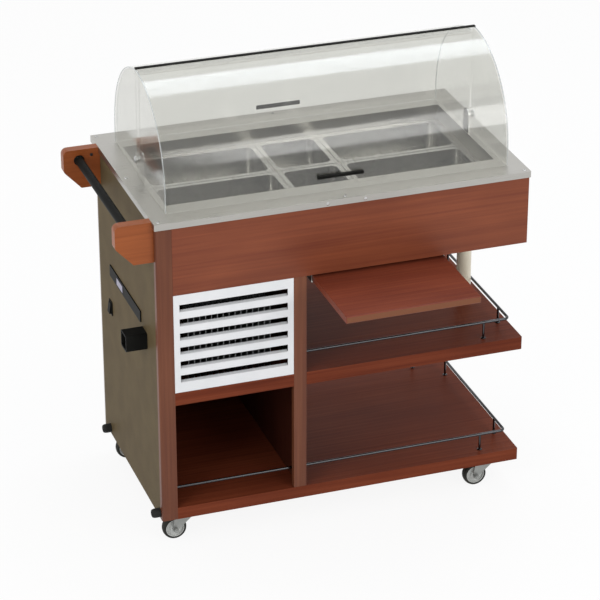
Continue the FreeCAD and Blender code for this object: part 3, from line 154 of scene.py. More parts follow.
def multiply(tree, share, one, other):
    """Two colours multiplied, by a share from 0 to 1."""
    mixed = add(tree, "ShaderNodeMix", {"Factor": share, 6: one, 7: other},
                data_type="RGBA", blend_type="MULTIPLY")
    return mixed.outputs[2]


def bump(tree, shader, height, depth_mm):
    """Surface relief of the given depth."""
    node = add(tree, "ShaderNodeBump", {"Height": height, "Distance": depth_mm * MM})
    tree.links.new(node.outputs["Normal"], shader.inputs["Normal"])


# %% [markdown]
# ## Stained and lacquered wood
# The cabinet is beech-faced board, stained mahogany red and sprayed with satin lacquer. Such a
# veneer has a fine straight grain, dark pores and broad soft clouds of lighter and redder stain.
# The grain runs along each board, so the same recipe is made for three directions. Real pores are
# a tenth of a millimetre wide and a few long, too fine to show from here, so they are drawn 0.8 mm
# wide and some 30 mm long. The lacquer is the shader's coat.


# %% Wood
def wood(name, dark, mid, light, grain, gloss=0.4, edge=None, shine=0.2):
    """Veneer with its grain along one axis; an edge colour paints the faces that look forward, a painted
    highlight on a lit front edge.
    """
    material, tree, shader = start(name, Coat_Weight=shine / 2, Coat_Roughness=0.25,
                                    Specular_IOR_Level=shine)
    along = "xyz".index(grain)

    def lengthways(run, width):
        return [run if axis == along else width for axis in range(3)]

    figure = noise(tree, lengthways(420, 7), Detail=4.0, Roughness=0.55, Distortion=0.25)
    pores = noise(tree, lengthways(30, 0.8), Detail=2.0)
    cloud = noise(tree, lengthways(330, 150), Detail=2.0)
    more_stain, less_stain = [0.8, 0.75, 0.75, 1], [1.1, 1.12, 1.08, 1]
    body = ramp(tree, figure.outputs["Fac"], [(0.25, rgb(dark)), (0.5, rgb(mid)), (0.78, rgb(light))])
    flecks = ramp(tree, pores.outputs["Fac"], [(0.3, factor(0.72)), (0.46, factor(1.0))])
    clouds = ramp(tree, cloud.outputs["Fac"], [(0.3, more_stain), (0.7, less_stain)])
    colour = multiply(tree, 1.0, multiply(tree, 0.28, body, flecks), clouds)
    # Painted light: the faces that look forward take the edge colour, lighter as if lit.
    if edge:
        spot = add(tree, "ShaderNodeTexCoord")
        parts = add(tree, "ShaderNodeSeparateXYZ", {"Vector": spot.outputs["Normal"]})
        forward = add(tree, "ShaderNodeMath", {0: parts.outputs["Y"], 1: -0.9}, operation="LESS_THAN")
        colour = add(tree, "ShaderNodeMix", {"Factor": forward.outputs[0], 6: colour, 7: rgb(edge)},
                     data_type="RGBA").outputs[2]
    tree.links.new(colour, shader.inputs["Base Color"])
    rough = add(tree, "ShaderNodeMapRange", {"Value": pores.outputs["Fac"], "To Min": gloss + 0.1,
                                             "To Max": gloss - 0.04})
    tree.links.new(rough.outputs["Result"], shader.inputs["Roughness"])
    bump(tree, shader, pores.outputs["Fac"], 0.08)
    return material


# Beech-faced board stained mahogany, satin: a warm red brown with the grain lying along the front.
fascia_wood = wood("mahogany stained fascia", "#6f3523", "#7a3f28", "#87472d", "x")
# The same board stood on end: its faces turn browner, with the grain upright.
upright_wood = wood("mahogany stained upright", "#633727", "#6c3f2b", "#784833", "z")
# End grain takes more stain, so the board across the end is a shade darker.
end_wood = wood("mahogany stained end board", "#602f21", "#6b3626", "#763e29", "y")
# Shelves are worn duller by plates, so they keep their red and lose their shine.
shelf_wood = wood("mahogany stained shelf", "#5f2b1c", "#6d3421", "#7b3e29", "x", shine=0.05)
# Inside the bays the board is painted nearly black red: painted shade for the little light that reaches in
# there.
bay_wood_painted_shade = wood("mahogany inner board, painted shade", "#35180f", "#3d1d15", "#442217", "z", shine=0.1)
# The drawn-out shelf: its faces that look forward are painted browner and lighter than the board behind it,
# a painted highlight on the lit front edge.
plate_wood = wood("mahogany board, painted lit front edge", "#6b3121", "#783826", "#86452d", "x", edge="#74462d")
# Solid cherry, shaped and oiled: orange, and brighter than the veneer beside it.
bracket_wood = wood("solid cherry handle bracket", "#84441f", "#8e4b24", "#985229", "x", gloss=0.36)
print("woods made")

# %% [markdown]
# ## Sprayed, moulded and laminated finishes
# A laminate, an enamel or a moulded plastic looks plain from afar, but light breaks up on its fine
# texture, and its colour drifts a little over a hand's width. One recipe gives both: a broad noise
# for the drift, and a fine one that varies the roughness and raises the surface by hundredths of a
# millimetre. Most real textures are finer than half a millimetre and wouldn't show from here, so
# each grain is drawn as coarse as it needs to show. From one finish to the next, the size of the
# grain and the gloss change.


# %% Plain finishes with a fine texture
DRIFT_MM = 70


def speckled(name, colour, other, size_mm, rough, relief_mm, **sockets):
    """A plain finish with slight colour drift and a fine moulded or sprayed texture."""
    material, tree, shader = start(name, **sockets)
    drift = noise(tree, (DRIFT_MM, DRIFT_MM, DRIFT_MM), Detail=3.0)
    tree.links.new(ramp(tree, drift.outputs["Fac"], [(0.35, rgb(colour)), (0.65, rgb(other))]),
                   shader.inputs["Base Color"])
    grain = noise(tree, (size_mm, size_mm, size_mm), Detail=2.0)
    band = add(tree, "ShaderNodeMapRange", {"Value": grain.outputs["Fac"], "To Min": rough - 0.06,
                                            "To Max": rough + 0.08})
    tree.links.new(band.outputs["Result"], shader.inputs["Roughness"])
    bump(tree, shader, grain.outputs["Fac"], relief_mm)
    return material


# Pressed decorative laminate: olive brown, with a pebbled satin skin.
laminate = speckled("olive brown laminate", "#61543c", "#5a4d37", 1.6, 0.55, 0.03, Specular_IOR_Level=0.05)
# Extruded edge strip: paler and greyer than the laminate, so the panel's edge shows as a line.
pale_edge = speckled("pale extruded edge strip", "#988e84", "#8e847b", 1.2, 0.5, 0.02,
                      Specular_IOR_Level=0.25)
# Hardboard back, sprayed dark: matt, with the board's own coarse tooth.
board_raw = speckled("dark sprayed hardboard", "#2f2620", "#281f1a", 2.0, 0.6, 0.05, Specular_IOR_Level=0.25)
# Moulded ABS: deep black with an even satin sheen along its rounded edges.
black_plastic = speckled("black moulded plastic", "#131312", "#191917", 0.5, 0.46, 0.02,
                         Specular_IOR_Level=0.04)
# Moulded rubber: softer than the plastic, its highlights spread wide.
black_rubber = speckled("black moulded rubber", "#191918", "#20201f", 0.7, 0.62, 0.04,
                        Specular_IOR_Level=0.2)
# Tyre rubber after years on floors: scuffed grey over black.
tyre_rubber = speckled("scuffed tyre rubber", "#20211d", "#2e2e29", 1.1, 0.68, 0.08,
                       Specular_IOR_Level=0.2)
# Oven-cured enamel on steel sheet: cool white with a shallow orange peel.
white_enamel = speckled("white oven enamel", "#dddee0", "#d7d9db", 0.9, 0.34, 0.015, Coat_Weight=0.2)
# The same enamel in black, on the compressor's shell: a small sharp highlight on a dark round.
black_enamel = speckled("black oven enamel", "#17181a", "#1d1e20", 0.8, 0.35, 0.02)
# Powder-coated tube of the column: cream, nearly gloss.
cream_enamel = speckled("cream powder coat", "#ddd5c0", "#d6cdb8", 1.2, 0.26, 0.01, Coat_Weight=0.3)
# Zinc-plated pressings of the castors: half metal, with the plating's dull bloom.
grey_zinc = speckled("zinc plated pressing", "#9a9c99", "#8c8e8b", 1.0, 0.38, 0.03, Metallic=0.6)
# Nylon wheel centres: light grey and matt.
grey_plastic = speckled("grey moulded nylon", "#c2c4c1", "#b6b8b5", 1.0, 0.45, 0.03)
# Poured foam: pale yellow with open cells.
foam = speckled("poured rigid foam", "#dccfa0", "#cfc08e", 2.5, 0.85, 0.3)
# The temperature display's window, of tinted polycarbonate: smooth and glossy, unlit.
display_gloss = speckled("tinted display window", "#857f98", "#7b768e", 3.0, 0.16, 0.0,
                         Specular_IOR_Level=0.3)
print("plain finishes made")

# %% [markdown]
# ## Brushed and drawn metal
# Stainless sheet is brushed along the rolling direction. Noise stretched 90 mm one way and under
# half a millimetre the other gives the brush lines, and a broad noise adds the wiped patches that
# a worktop has after years of cleaning. Real lines are some 0.05 mm wide, so these are drawn nine
# times as coarse to show at all. They change roughness more than colour.


# %% Metals
LINE_LONG_MM, LINE_WIDE_MM = 90, 0.45
SMEAR_MM = 130


def brushed(name, colour, grain, rough, relief_mm=0.012, wiped=0.09):
    """Metal brushed along one axis, with broad wiped patches."""
    material, tree, shader = start(name, Metallic=1.0)
    along = "xyz".index(grain)
    stretch = [LINE_LONG_MM if axis == along else LINE_WIDE_MM for axis in range(3)]
    lines = noise(tree, stretch, Detail=3.0, Roughness=0.6)
    smear = noise(tree, (SMEAR_MM, SMEAR_MM, SMEAR_MM), Detail=2.0)
    both = add(tree, "ShaderNodeMath", {0: lines.outputs["Fac"], 1: smear.outputs["Fac"]}, operation="ADD")
    band = add(tree, "ShaderNodeMapRange", {"Value": both.outputs[0], "From Min": 0.6, "From Max": 1.4,
                                            "To Min": rough - wiped, "To Max": rough + wiped})
    tree.links.new(band.outputs["Result"], shader.inputs["Roughness"])
    dark = [c * 0.9 for c in rgb(colour)[:3]] + [1.0]
    tree.links.new(ramp(tree, lines.outputs["Fac"], [(0.3, dark), (0.7, rgb(colour))]),
                   shader.inputs["Base Color"])
    bump(tree, shader, lines.outputs["Fac"], relief_mm)
    return material


# Stainless sheet, belt brushed: neutral grey, its reflections drawn out across the brush lines.
steel_x = brushed("stainless brushed lengthways", "#b6b4af", "x", 0.32)
# The same steel pressed into pans: smoother, with softer and rounder highlights.
steel_pan = brushed("stainless pressed and satin", "#b2b1ad", "y", 0.27)
# Turned heads and caps: small bright points on the brushed rim.
steel_bright = brushed("stainless turned bright", "#c3c3c2", "z", 0.2, 0.004, 0.04)
# Chrome on drawn tube, its colour painted dark: a painted reflection of the dark shelves, with a thin bright
# line.
chrome = brushed("chrome tube, painted dark reflection", "#4b4b4d", "z", 0.12, 0.002, 0.03)
# Drawn copper: pink brown, with lines along the tube.
copper = brushed("drawn copper tube", "#b87a56", "x", 0.3)
# Rolled aluminium left as it came from the mill: pale and even.
fin_metal = brushed("mill aluminium fin", "#a9abad", "z", 0.35)
print("metals made")

# %% [markdown]
# ## Clear acrylic
# A sheet 4 mm thick barely bends what lies behind it, so light goes straight through each face,
# less what the face mirrors. Fresnel's rule says how much: 4% face on, nearly all at a glancing
# angle. The node takes a back face for the way out of solid acrylic, which would mirror everything
# past 42 degrees, so the index is turned over there. A little white haze stands for polish marks.


# %% Acrylic
ACRYLIC_IOR = 1.49


def acrylic(name, tint, haze, haze_colour, rough=0.04):
    """Clear sheet: straight-through light, Fresnel mirror and a share of haze."""
    material, tree, shader = start(name)
    tree.nodes.remove(shader)
    side = add(tree, "ShaderNodeNewGeometry")
    index = add(tree, "ShaderNodeMapRange", {"Value": side.outputs["Backfacing"],
                                             "To Min": ACRYLIC_IOR, "To Max": 1 / ACRYLIC_IOR})
    mirror = add(tree, "ShaderNodeFresnel", {"IOR": index.outputs["Result"]})
    wipe = noise(tree, (160, 40, 40), Detail=4.0)
    smears = add(tree, "ShaderNodeMapRange", {"Value": wipe.outputs["Fac"], "From Min": 0.45,
                                              "From Max": 0.75, "To Min": rough, "To Max": rough + 0.08})
    clear = add(tree, "ShaderNodeBsdfTransparent", {"Color": rgb(tint)})
    gloss = add(tree, "ShaderNodeBsdfGlossy", {"Color": rgb("#ffffff"),
                                               "Roughness": smears.outputs["Result"]})
    sheet = add(tree, "ShaderNodeMixShader", {0: mirror.outputs[0], 1: clear.outputs[0],
                                              2: gloss.outputs[0]})
    milky = add(tree, "ShaderNodeBsdfDiffuse", {"Color": rgb(haze_colour)})
    marks = add(tree, "ShaderNodeMapRange", {"Value": wipe.outputs["Fac"], "From Min": 0.3,
                                             "From Max": 0.7, "To Min": haze * 0.8, "To Max": haze * 1.2})
    whole = add(tree, "ShaderNodeMixShader", {0: marks.outputs["Result"], 1: sheet.outputs[0],
                                              2: milky.outputs[0]})
    tree.links.new(whole.outputs[0], tree.nodes["Material Output"].inputs["Surface"])
    return material


# Cast acrylic, polished: seen by its edges, its pale band of reflected light and a faint haze.
clear_acrylic = acrylic("clear polished acrylic", "#f5f5f3", 0.035, "#c4c4c2", 0.1)
# Solvent cement that has squeezed out and set: the same sheet, but whiter and duller.
cement_line = acrylic("cemented acrylic edge", "#f2f4f4", 0.28, "#e6eaeb", 0.12)
print("acrylic made")

# %% [markdown]
# ## Finishes on the construction
# The construction keeps its own shape. Each piece gets its finish, and the edges that a joiner
# would ease with sandpaper, or a press would roll, get a narrow bevel so that they catch the light.

# %% Give every piece its finish
finishes = {
    fascia_wood: ["fascia_front", "fascia_rear"],
    end_wood: ["fascia_right"],
    shelf_wood: ["base_shelf", "mid_shelf", "machine_floor"],
    upright_wood: ["left_stile", "divider_stile"],
    # The divider panel takes the bays' painted shade.
    bay_wood_painted_shade: ["divider_panel"],
    plate_wood: ["plate_shelf"],
    bracket_wood: ["handle_brackets"],
    laminate: ["left_panel"],
    board_raw: ["rear_panel", "well_deck"],
    pale_edge: ["rear_edge_trim"],
    steel_x: ["top_frame", "well_tub", "pan_support", "shelf_runners"],
    steel_bright: ["dome_pivots", "screws"],
    steel_pan: ["large_pans", "small_pans"],
    clear_acrylic: ["dome_front", "dome_rear"],
    black_plastic: ["dome_front_grip", "dome_rear_grip", "dome_edge_seal", "handle_bar", "control_strip",
                    "switch_bezel", "switch_rocker", "mains_inlet", "fan_blades"],
    display_gloss: ["display_window"],
    white_enamel: ["vent_grille"],
    black_enamel: ["compressor", "fan_housing"],
    fin_metal: ["condenser"],
    copper: ["evaporator_coil"],
    grey_plastic: ["drain_spigot", "hub_fl", "hub_fr", "hub_rl", "hub_rr"],
    foam: ["well_insulation"],
    # The rails take the chrome whose dark colour is a painted reflection.
    chrome: ["mid_rail", "lower_rail", "bay_rail"],
    cream_enamel: ["support_column"],
    black_rubber: ["bumpers"],
    grey_zinc: ["castor_plates", "fork_fl", "fork_fr", "fork_rl", "fork_rr"],
    tyre_rubber: ["tyre_fl", "tyre_fr", "tyre_rl", "tyre_rr"],
}
for material, names in finishes.items():
    for name in names:
        nodes[name].data.materials.clear()
        nodes[name].data.materials.append(material)
print("finished", sum(len(names) for names in finishes.values()), "nodes")

# %% Ease the edges
edge_width_mm = {
    "fascia_front": 0.8, "fascia_rear": 0.8, "fascia_right": 0.8, "base_shelf": 1.6, "mid_shelf": 1.6,
    "left_stile": 0.8, "divider_stile": 1.0, "plate_shelf": 1.0, "handle_brackets": 6.0,
    "left_panel": 0.6, "top_frame": 0.5, "mains_inlet": 0.8, "dome_front_grip": 0.5,
    "dome_rear_grip": 0.5, "control_strip": 0.8, "switch_bezel": 0.8, "switch_rocker": 1.0,
    "castor_plates": 0.4, "vent_grille": 0.4,
}
for name, width_mm in edge_width_mm.items():
    weld = nodes[name].modifiers.new("join split corners", "WELD")
    weld.merge_threshold = 0.01 * MM
    edge = nodes[name].modifiers.new("eased edges", "BEVEL")
    edge.width = width_mm * MM
    edge.segments = 5 if width_mm > 3 else 3
    edge.limit_method = "ANGLE"
    edge.angle_limit = math.radians(40)
    edge.harden_normals = True
print("eased", len(edge_width_mm), "nodes")

# %% [markdown]
# ## Tools for small parts
# Screws, tyres, caps and feet are turned parts: a profile of radius and height, spun round an axis.
# Six steps round make a hexagon nut, and thirty-two a round cap. Where each small part goes is read
# from the construction itself: from the box of a node, or from each of its loose solids.


# %% Turning
def facing(point, axis):
    """A placement at a point with its local Z along the axis."""
    return Matrix.Translation(point) @ Vector(axis).to_track_quat("Z", "Y").to_matrix().to_4x4()


def lathe(bm, profile, spot, steps=32, closed=False):
    """Spins (radius, height) points, in millimetres, round the placement's Z axis."""
    rings = []
    for radius, height in profile:
        count = steps if radius > 0 else 1
        turns = [2 * math.pi * k / count for k in range(count)]
        rings.append([bm.verts.new(spot @ Vector((radius * math.cos(t) * MM, radius * math.sin(t) * MM,
                                                  height * MM))) for t in turns])
    for low, high in zip(rings, rings[1:] + rings[:1] if closed else rings[1:]):
        for k in range(steps):
            face = list(dict.fromkeys([low[k % len(low)], low[(k + 1) % len(low)],
                                       high[(k + 1) % len(high)], high[k % len(high)]]))
            if len(face) > 2:
                bm.faces.new(face)


# %% Finishing a piece
SHARP_DEG = 35


def piece(name, bm, material, body, stands_for=()):
    """Finishes a mesh: normals, smooth faces with sharp corners, material and body; hides the construction
    pieces it stands for.
    """
    bmesh.ops.recalc_face_normals(bm, faces=bm.faces[:])
    mesh = bpy.data.meshes.new(name)
    bm.to_mesh(mesh)
    bm.free()
    mesh.shade_smooth()
    mesh.set_sharp_from_angle(angle=math.radians(SHARP_DEG))
    mesh.materials.append(material)
    made = bpy.data.objects.new(name, mesh)
    bpy.context.scene.collection.objects.link(made)
    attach(made, body)
    if stands_for:
        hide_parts(*stands_for)


# %% Reading the construction
def corners(name):
    """The lowest and highest corner of a node's box."""
    return [Vector(corner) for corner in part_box(name)]


def solids(name):
    """The lowest and highest corner of each loose solid of a node."""
    bm = bmesh.new()
    bm.from_mesh(nodes[name].data)
    bmesh.ops.remove_doubles(bm, verts=bm.verts[:], dist=0.01 * MM)
    left = set(bm.verts)
    found = []
    while left:
        front, group = [left.pop()], []
        while front:
            vert = front.pop()
            group.append(vert.co.copy())
            for edge in vert.link_edges:
                other = edge.other_vert(vert)
                if other in left:
                    left.remove(other)
                    front.append(other)
        low = Vector([min(co[i] for co in group) for i in range(3)])
        high = Vector([max(co[i] for co in group) for i in range(3)])
        found.append((low, high))
    bm.free()
    return sorted(found, key=lambda pair: tuple(round(v, 4) for v in pair[0]))


print("loose solids:", {name: len(solids(name)) for name in ("screws", "bumpers", "castor_plates")})

# %% [markdown]
# ## Screws
# The rim is held by pan-head screws with a cross recess. A plain dome would read as a rivet, so one
# head is turned and its cross cut out with a boolean, once, and that mesh is set down wherever the
# construction has a screw. A head that is narrower and taller holds the back board, both brackets
# and the column's flange.


# %% One cross-recessed head
def pan_head(radius_mm, height_mm):
    """A pan head turned at the origin, with its cross cut in."""
    blank = bmesh.new()
    curve = [(0, 0), (1, 0), (1, 0.45), (0.93, 0.75), (0.7, 0.93), (0.35, 1), (0, 1)]
    lathe(blank, [(r * radius_mm, h * height_mm) for r, h in curve], Matrix(), steps=28)
    bmesh.ops.recalc_face_normals(blank, faces=blank.faces[:])
    cross = bmesh.new()
    for turn in (0, math.pi / 2):
        sides = Matrix.Diagonal([1.2 * radius_mm * MM, 0.28 * radius_mm * MM, height_mm * MM, 1])
        place = Matrix.Translation((0, 0, height_mm * 0.95 * MM)) @ Matrix.Rotation(turn, 4, "Z")
        bmesh.ops.create_cube(cross, size=1, matrix=place @ sides)
    made = []
    for label, bm in (("blank", blank), ("cross", cross)):
        mesh = bpy.data.meshes.new(label)
        bm.to_mesh(mesh)
        bm.free()
        made.append(bpy.data.objects.new(label, mesh))
        bpy.context.scene.collection.objects.link(made[-1])
    recess = made[0].modifiers.new("recess", "BOOLEAN")
    recess.operation = "DIFFERENCE"
    recess.object = made[1]
    recess.use_self = True
    head = bpy.data.meshes.new_from_object(made[0].evaluated_get(bpy.context.evaluated_depsgraph_get()))
    for thing in made:
        bpy.data.objects.remove(thing)
    return head


def set_down(bm, mesh, spot):
    """Copies a mesh into bm at a placement."""
    first = len(bm.verts)
    bm.from_mesh(mesh)
    bm.verts.ensure_lookup_table()
    bmesh.ops.transform(bm, matrix=spot, verts=bm.verts[first:])


rim_head = pan_head(radius_mm=4.5, height_mm=1.6)
board_head = pan_head(radius_mm=4.0, height_mm=1.8)
print("faces of a head", len(rim_head.polygons))

# %% Screws of the rim
rim = bmesh.new()
for low, high in solids("screws"):
    middle = (low + high) / 2
    if high.z - low.z < high.x - low.x - MM:
        set_down(rim, rim_head, facing((middle.x, middle.y, low.z), (0, 0, 1)))
    else:
        set_down(rim, rim_head, facing((middle.x, high.y, middle.z), (0, -1, 0)))
piece("rim_screws", rim, steel_bright, "cabinet", ["screws"])
print("screws on the rim", len(solids("screws")))

# %% Screws of the back board
SIDE_INSET = 16 * MM
END_INSET = 18 * MM
ROWS = 5
low, high = corners("rear_panel")
centre_x = (low.x + high.x) / 2
back = bmesh.new()
for x in [low.x + SIDE_INSET, centre_x, high.x - SIDE_INSET]:
    for row in range(ROWS):
        z = low.z + END_INSET + (high.z - low.z - 2 * END_INSET) * row / (ROWS - 1)
        if row in (0, ROWS - 1) or x != centre_x:
            set_down(back, board_head, facing((x, high.y, z), (0, 1, 0)))
piece("back_screws", back, grey_zinc, "cabinet")
print("rows of screws in the back board", ROWS)

# %% Screws of the handle brackets
BESIDE_BAR = 32 * MM
BELOW_TOP = 17 * MM
low, high = corners("handle_bar")
stud_x = (low.x + high.x) / 2 + BESIDE_BAR
studs = bmesh.new()
for low, high in solids("handle_brackets"):
    inner, inwards = (high.y, 1) if low.y < 0 else (low.y, -1)
    set_down(studs, board_head, facing((stud_x, inner, high.z - BELOW_TOP), (0, inwards, 0)))
piece("bracket_screws", studs, black_enamel, "cabinet")
print("screws in the brackets", len(solids("handle_brackets")))

# %% [markdown]
# ## Dome seams
# Each half of the dome is a bent sheet with flat cheeks cemented in at its ends. The cement squeezes
# out into a fine bead that scatters light, so the curve of the cheek shows as a pale line in a form
# that is otherwise invisible. The bead is a thin tube swept along the bent sheet: down its quarter
# circle, then straight down to the free edge. A turned cap covers each end of the pivot.


# %% Sweeping
def sweep(bm, path, radius_mm, across, sides=10):
    """A round bead along a flat path; across is the direction square to the path's plane."""
    across = Vector(across).normalized()
    rings = []
    for k, point in enumerate(path):
        ahead = (path[min(k + 1, len(path) - 1)] - path[max(k - 1, 0)]).normalized()
        side = ahead.cross(across).normalized()
        turns = [2 * math.pi * s / sides for s in range(sides)]
        rings.append([bm.verts.new(point + (across * math.cos(t) + side * math.sin(t)) * radius_mm * MM)
                      for t in turns])
    for low, high in zip(rings, rings[1:]):
        for s in range(sides):
            bm.faces.new((low[s], low[(s + 1) % sides], high[(s + 1) % sides], high[s]))
    bm.faces.new(rings[0])
    bm.faces.new(list(reversed(rings[-1])))


joints = frame["record"]["behaviour"]["joints"]
pivot = Vector(next(row["pos_m"] for row in joints if row["name"] == "dome_front_hinge"))
print("dome pivot at", tuple(round(v, 4) for v in pivot))

# %% Cemented seams of the dome
BEAD_MM = 1.5
SEAM_DEPTH = 1.2 * MM
FIRST_DEG = 1.5
STEPS = 30


def seams(name, towards):
    """Beads down both cheeks of one half; towards is -1 for the front and 1 for the rear."""
    low, high = corners(name)
    radius = (pivot.y - low.y if towards < 0 else high.y - pivot.y) - SEAM_DEPTH
    bm = bmesh.new()
    for x in (low.x + SEAM_DEPTH, high.x - SEAM_DEPTH):
        turns = [math.radians(FIRST_DEG + (90 - FIRST_DEG) * k / STEPS) for k in range(STEPS + 1)]
        path = [Vector((x, pivot.y + towards * radius * math.sin(t), pivot.z + radius * math.cos(t)))
                for t in turns]
        path.append(Vector((x, pivot.y + towards * radius, low.z + BEAD_MM * MM)))
        sweep(bm, path, BEAD_MM, (1, 0, 0))
    piece(name + "_seams", bm, cement_line, name)
    print(name, "is bent to a radius of", round(radius / MM, 1), "mm at its seams")


seams("dome_front", -1)
seams("dome_rear", 1)

# %% Caps of the pivot
caps = bmesh.new()
low, high = corners("dome_pivots")
cap = [(0, -0.6), (7.6, -0.6), (7.6, 0.8), (6.6, 1.9), (4.2, 2.7), (0, 3)]
lathe(caps, cap, facing((low.x, pivot.y, pivot.z), (-1, 0, 0)))
lathe(caps, cap, facing((high.x, pivot.y, pivot.z), (1, 0, 0)))
piece("pivot_caps", caps, steel_bright, "cabinet")
print("caps", round((high.x - low.x) / MM), "mm apart")

# %% [markdown]
# ## Castors
# A moulded tyre has a crowned tread, so that the wheel turns easily on the spot, with rolled
# shoulders and a fine groove round its middle. The axle is a bolt with a hexagon nut, and four bolts
# hold each plate under the base.
# Tyres ride on the wheels, nuts on the forks and bolts on the cabinet, as the joints need.

# %% Tyres and axle nuts
nut = [(0, 0), (6.5, 0), (6.5, 3.6), (5.6, 4.4), (4.1, 4.4), (4.1, 5.4), (3.4, 6), (0, 6)]
for tag in ("fl", "fr", "rl", "rr"):
    low, high = corners("tyre_" + tag)
    hub_low, hub_high = corners("hub_" + tag)
    middle = (low + high) / 2
    outer = (high.z - low.z) / 2 / MM
    half = (high.y - low.y) / 2 / MM
    inner = (hub_high.z - hub_low.z) / 2 / MM
    tread = [(inner, -half), (outer - 4.2, -half), (outer - 1.7, -0.84 * half), (outer - 0.5, -0.5 * half),
             (outer, -0.12 * half), (outer - 0.5, 0), (outer, 0.12 * half), (outer - 0.5, 0.5 * half),
             (outer - 1.7, 0.84 * half), (outer - 4.2, half), (inner, half)]
    bm = bmesh.new()
    lathe(bm, tread, facing(middle, (0, 1, 0)), steps=64, closed=True)
    piece("crowned_tyre_" + tag, bm, tyre_rubber, "wheel_" + tag, ["tyre_" + tag])
    bm = bmesh.new()
    fork_low, fork_high = corners("fork_" + tag)
    lathe(bm, nut, facing((middle.x, fork_low.y, middle.z), (0, -1, 0)), steps=6)
    lathe(bm, nut, facing((middle.x, fork_high.y, middle.z), (0, 1, 0)), steps=6)
    piece("axle_nuts_" + tag, bm, grey_zinc, "fork_" + tag)
    print("tyre", tag, "has a radius of", round(outer, 1), "mm")

# %% Bolts of the castor plates
CORNER_INSET = 8 * MM
PLATE_THICK = 3 * MM
bolt = [(0, 0), (4.4, 0), (4.4, 0.8), (3.9, 0.8), (3.9, 2.6), (3.2, 3.2), (0, 3.2)]
bolts = bmesh.new()
for low, high in solids("castor_plates"):
    for x in (low.x + CORNER_INSET, high.x - CORNER_INSET):
        for y in (low.y + CORNER_INSET, high.y - CORNER_INSET):
            lathe(bolts, bolt, facing((x, y, high.z - PLATE_THICK), (0, 0, -1)), steps=6)
piece("plate_bolts", bolts, grey_zinc, "cabinet")
print("castor plates", len(solids("castor_plates")))

# %% [markdown]
# ## Turned fittings
# Rubber bumpers are moulded round, with a sunk screw; rails stand in little ferrules; the column's
# flange has four screws; and the grip bar ends in a collar at each bracket. All are turned parts.

# %% Bumpers
# Both profiles are shares of a bumper's radius and length.
buffer = [(0, 0), (1, 0), (1, 0.5), (0.97, 0.72), (0.88, 0.9), (0.74, 0.98), (0.58, 1), (0.46, 0.98),
          (0.42, 0.92), (0.4, 0.7), (0, 0.7)]
sunk_head = [(0, 0.69), (0.36, 0.69), (0.33, 0.75), (0.2, 0.79), (0, 0.8)]
buffers = bmesh.new()
sunk_screws = bmesh.new()
for low, high in solids("bumpers"):
    middle = (low + high) / 2
    thick, long = (high.z - low.z) / 2 / MM, (high.x - low.x) / MM
    spot = facing((high.x, middle.y, middle.z), (-1, 0, 0))
    lathe(buffers, [(r * thick, h * long) for r, h in buffer], spot)
    lathe(sunk_screws, [(r * thick, h * long) for r, h in sunk_head], spot)
piece("moulded_bumpers", buffers, black_rubber, "cabinet", ["bumpers"])
piece("bumper_screws", sunk_screws, grey_zinc, "cabinet")
print("bumpers", len(solids("bumpers")))


# %% Ferrules under the rails
def feet(name, spread_mm=12):
    """The centres of the places where a node stands on what is below it."""
    floor_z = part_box(name)[0][2]
    clusters = []
    for vert in nodes[name].data.vertices:
        if vert.co.z > floor_z + 0.2 * MM:
            continue
        near = [cluster for cluster in clusters if (cluster[0] - vert.co).length < spread_mm * MM]
        if near:
            near[0].append(vert.co.copy())
        else:
            clusters.append([vert.co.copy()])
    return [sum(cluster, Vector()) / len(cluster) for cluster in clusters]


ferrule = [(3, 0), (6.5, 0), (6.5, 1), (5.4, 2), (3.6, 2.4), (3, 2.4)]
ferrules = bmesh.new()
for rail in ("mid_rail", "lower_rail"):
    for foot in feet(rail):
        lathe(ferrules, ferrule, facing(foot, (0, 0, 1)), steps=24)
    print(rail, "stands on", len(feet(rail)), "feet")
piece("rail_ferrules", ferrules, chrome, "cabinet")

# %% Screws of the column's flange
BOLT_CIRCLE = 24 * MM
FLANGE_THICK = 5 * MM
smaller = Matrix.Scale(0.8, 4)
low, high = corners("support_column")
flange = bmesh.new()
for quarter in range(4):
    turn = math.radians(45 + 90 * quarter)
    x = (low.x + high.x) / 2 + BOLT_CIRCLE * math.cos(turn)
    y = (low.y + high.y) / 2 + BOLT_CIRCLE * math.sin(turn)
    set_down(flange, board_head, facing((x, y, low.z + FLANGE_THICK), (0, 0, 1)) @ smaller)
piece("flange_screws", flange, grey_zinc, "cabinet")
print("column from", round(low.z, 3), "to", round(high.z, 3))

# %% Collars of the grip bar
low, high = corners("handle_bar")
middle = (low + high) / 2
bar = (high.z - low.z) / 2 / MM
ring = [(bar - 0.5, 0), (bar + 2.6, 0), (bar + 2.6, 1.6), (bar + 1.4, 3), (bar, 3.4), (bar - 0.5, 3.4)]
collars = bmesh.new()
lathe(collars, ring, facing((middle.x, low.y, middle.z), (0, 1, 0)))
lathe(collars, ring, facing((middle.x, high.y, middle.z), (0, -1, 0)))
piece("bar_collars", collars, black_plastic, "cabinet")
print("grip bar", round(2 * bar, 1), "mm thick")

# %% [markdown]
# ## Studio
# A catalogue cut-out stands on white paper. The surround is white to the camera and in mirrors and
# clear sheet, but lights the trolley more gently than that, so that shaded sides keep their form.
# The paper keeps the trolley's own soft shadow. A long strip lies along the dome and above it, for
# the pale band in the acrylic, and two large soft boxes model the front and the left end.


# %% White to the eye
def white_to_eyes(tree):
    """One for rays from the camera, mirrors and clear sheet; nothing for rays that carry light."""
    path = add(tree, "ShaderNodeLightPath")
    eyes = add(tree, "ShaderNodeMath", {0: path.outputs["Is Camera Ray"], 1: path.outputs["Is Glossy Ray"]},
               operation="MAXIMUM")
    return add(tree, "ShaderNodeMath", {0: eyes.outputs[0], 1: path.outputs["Is Transmission Ray"]},
               operation="MAXIMUM").outputs[0]


# %% Floor
PAPER_GLOW = 0.9


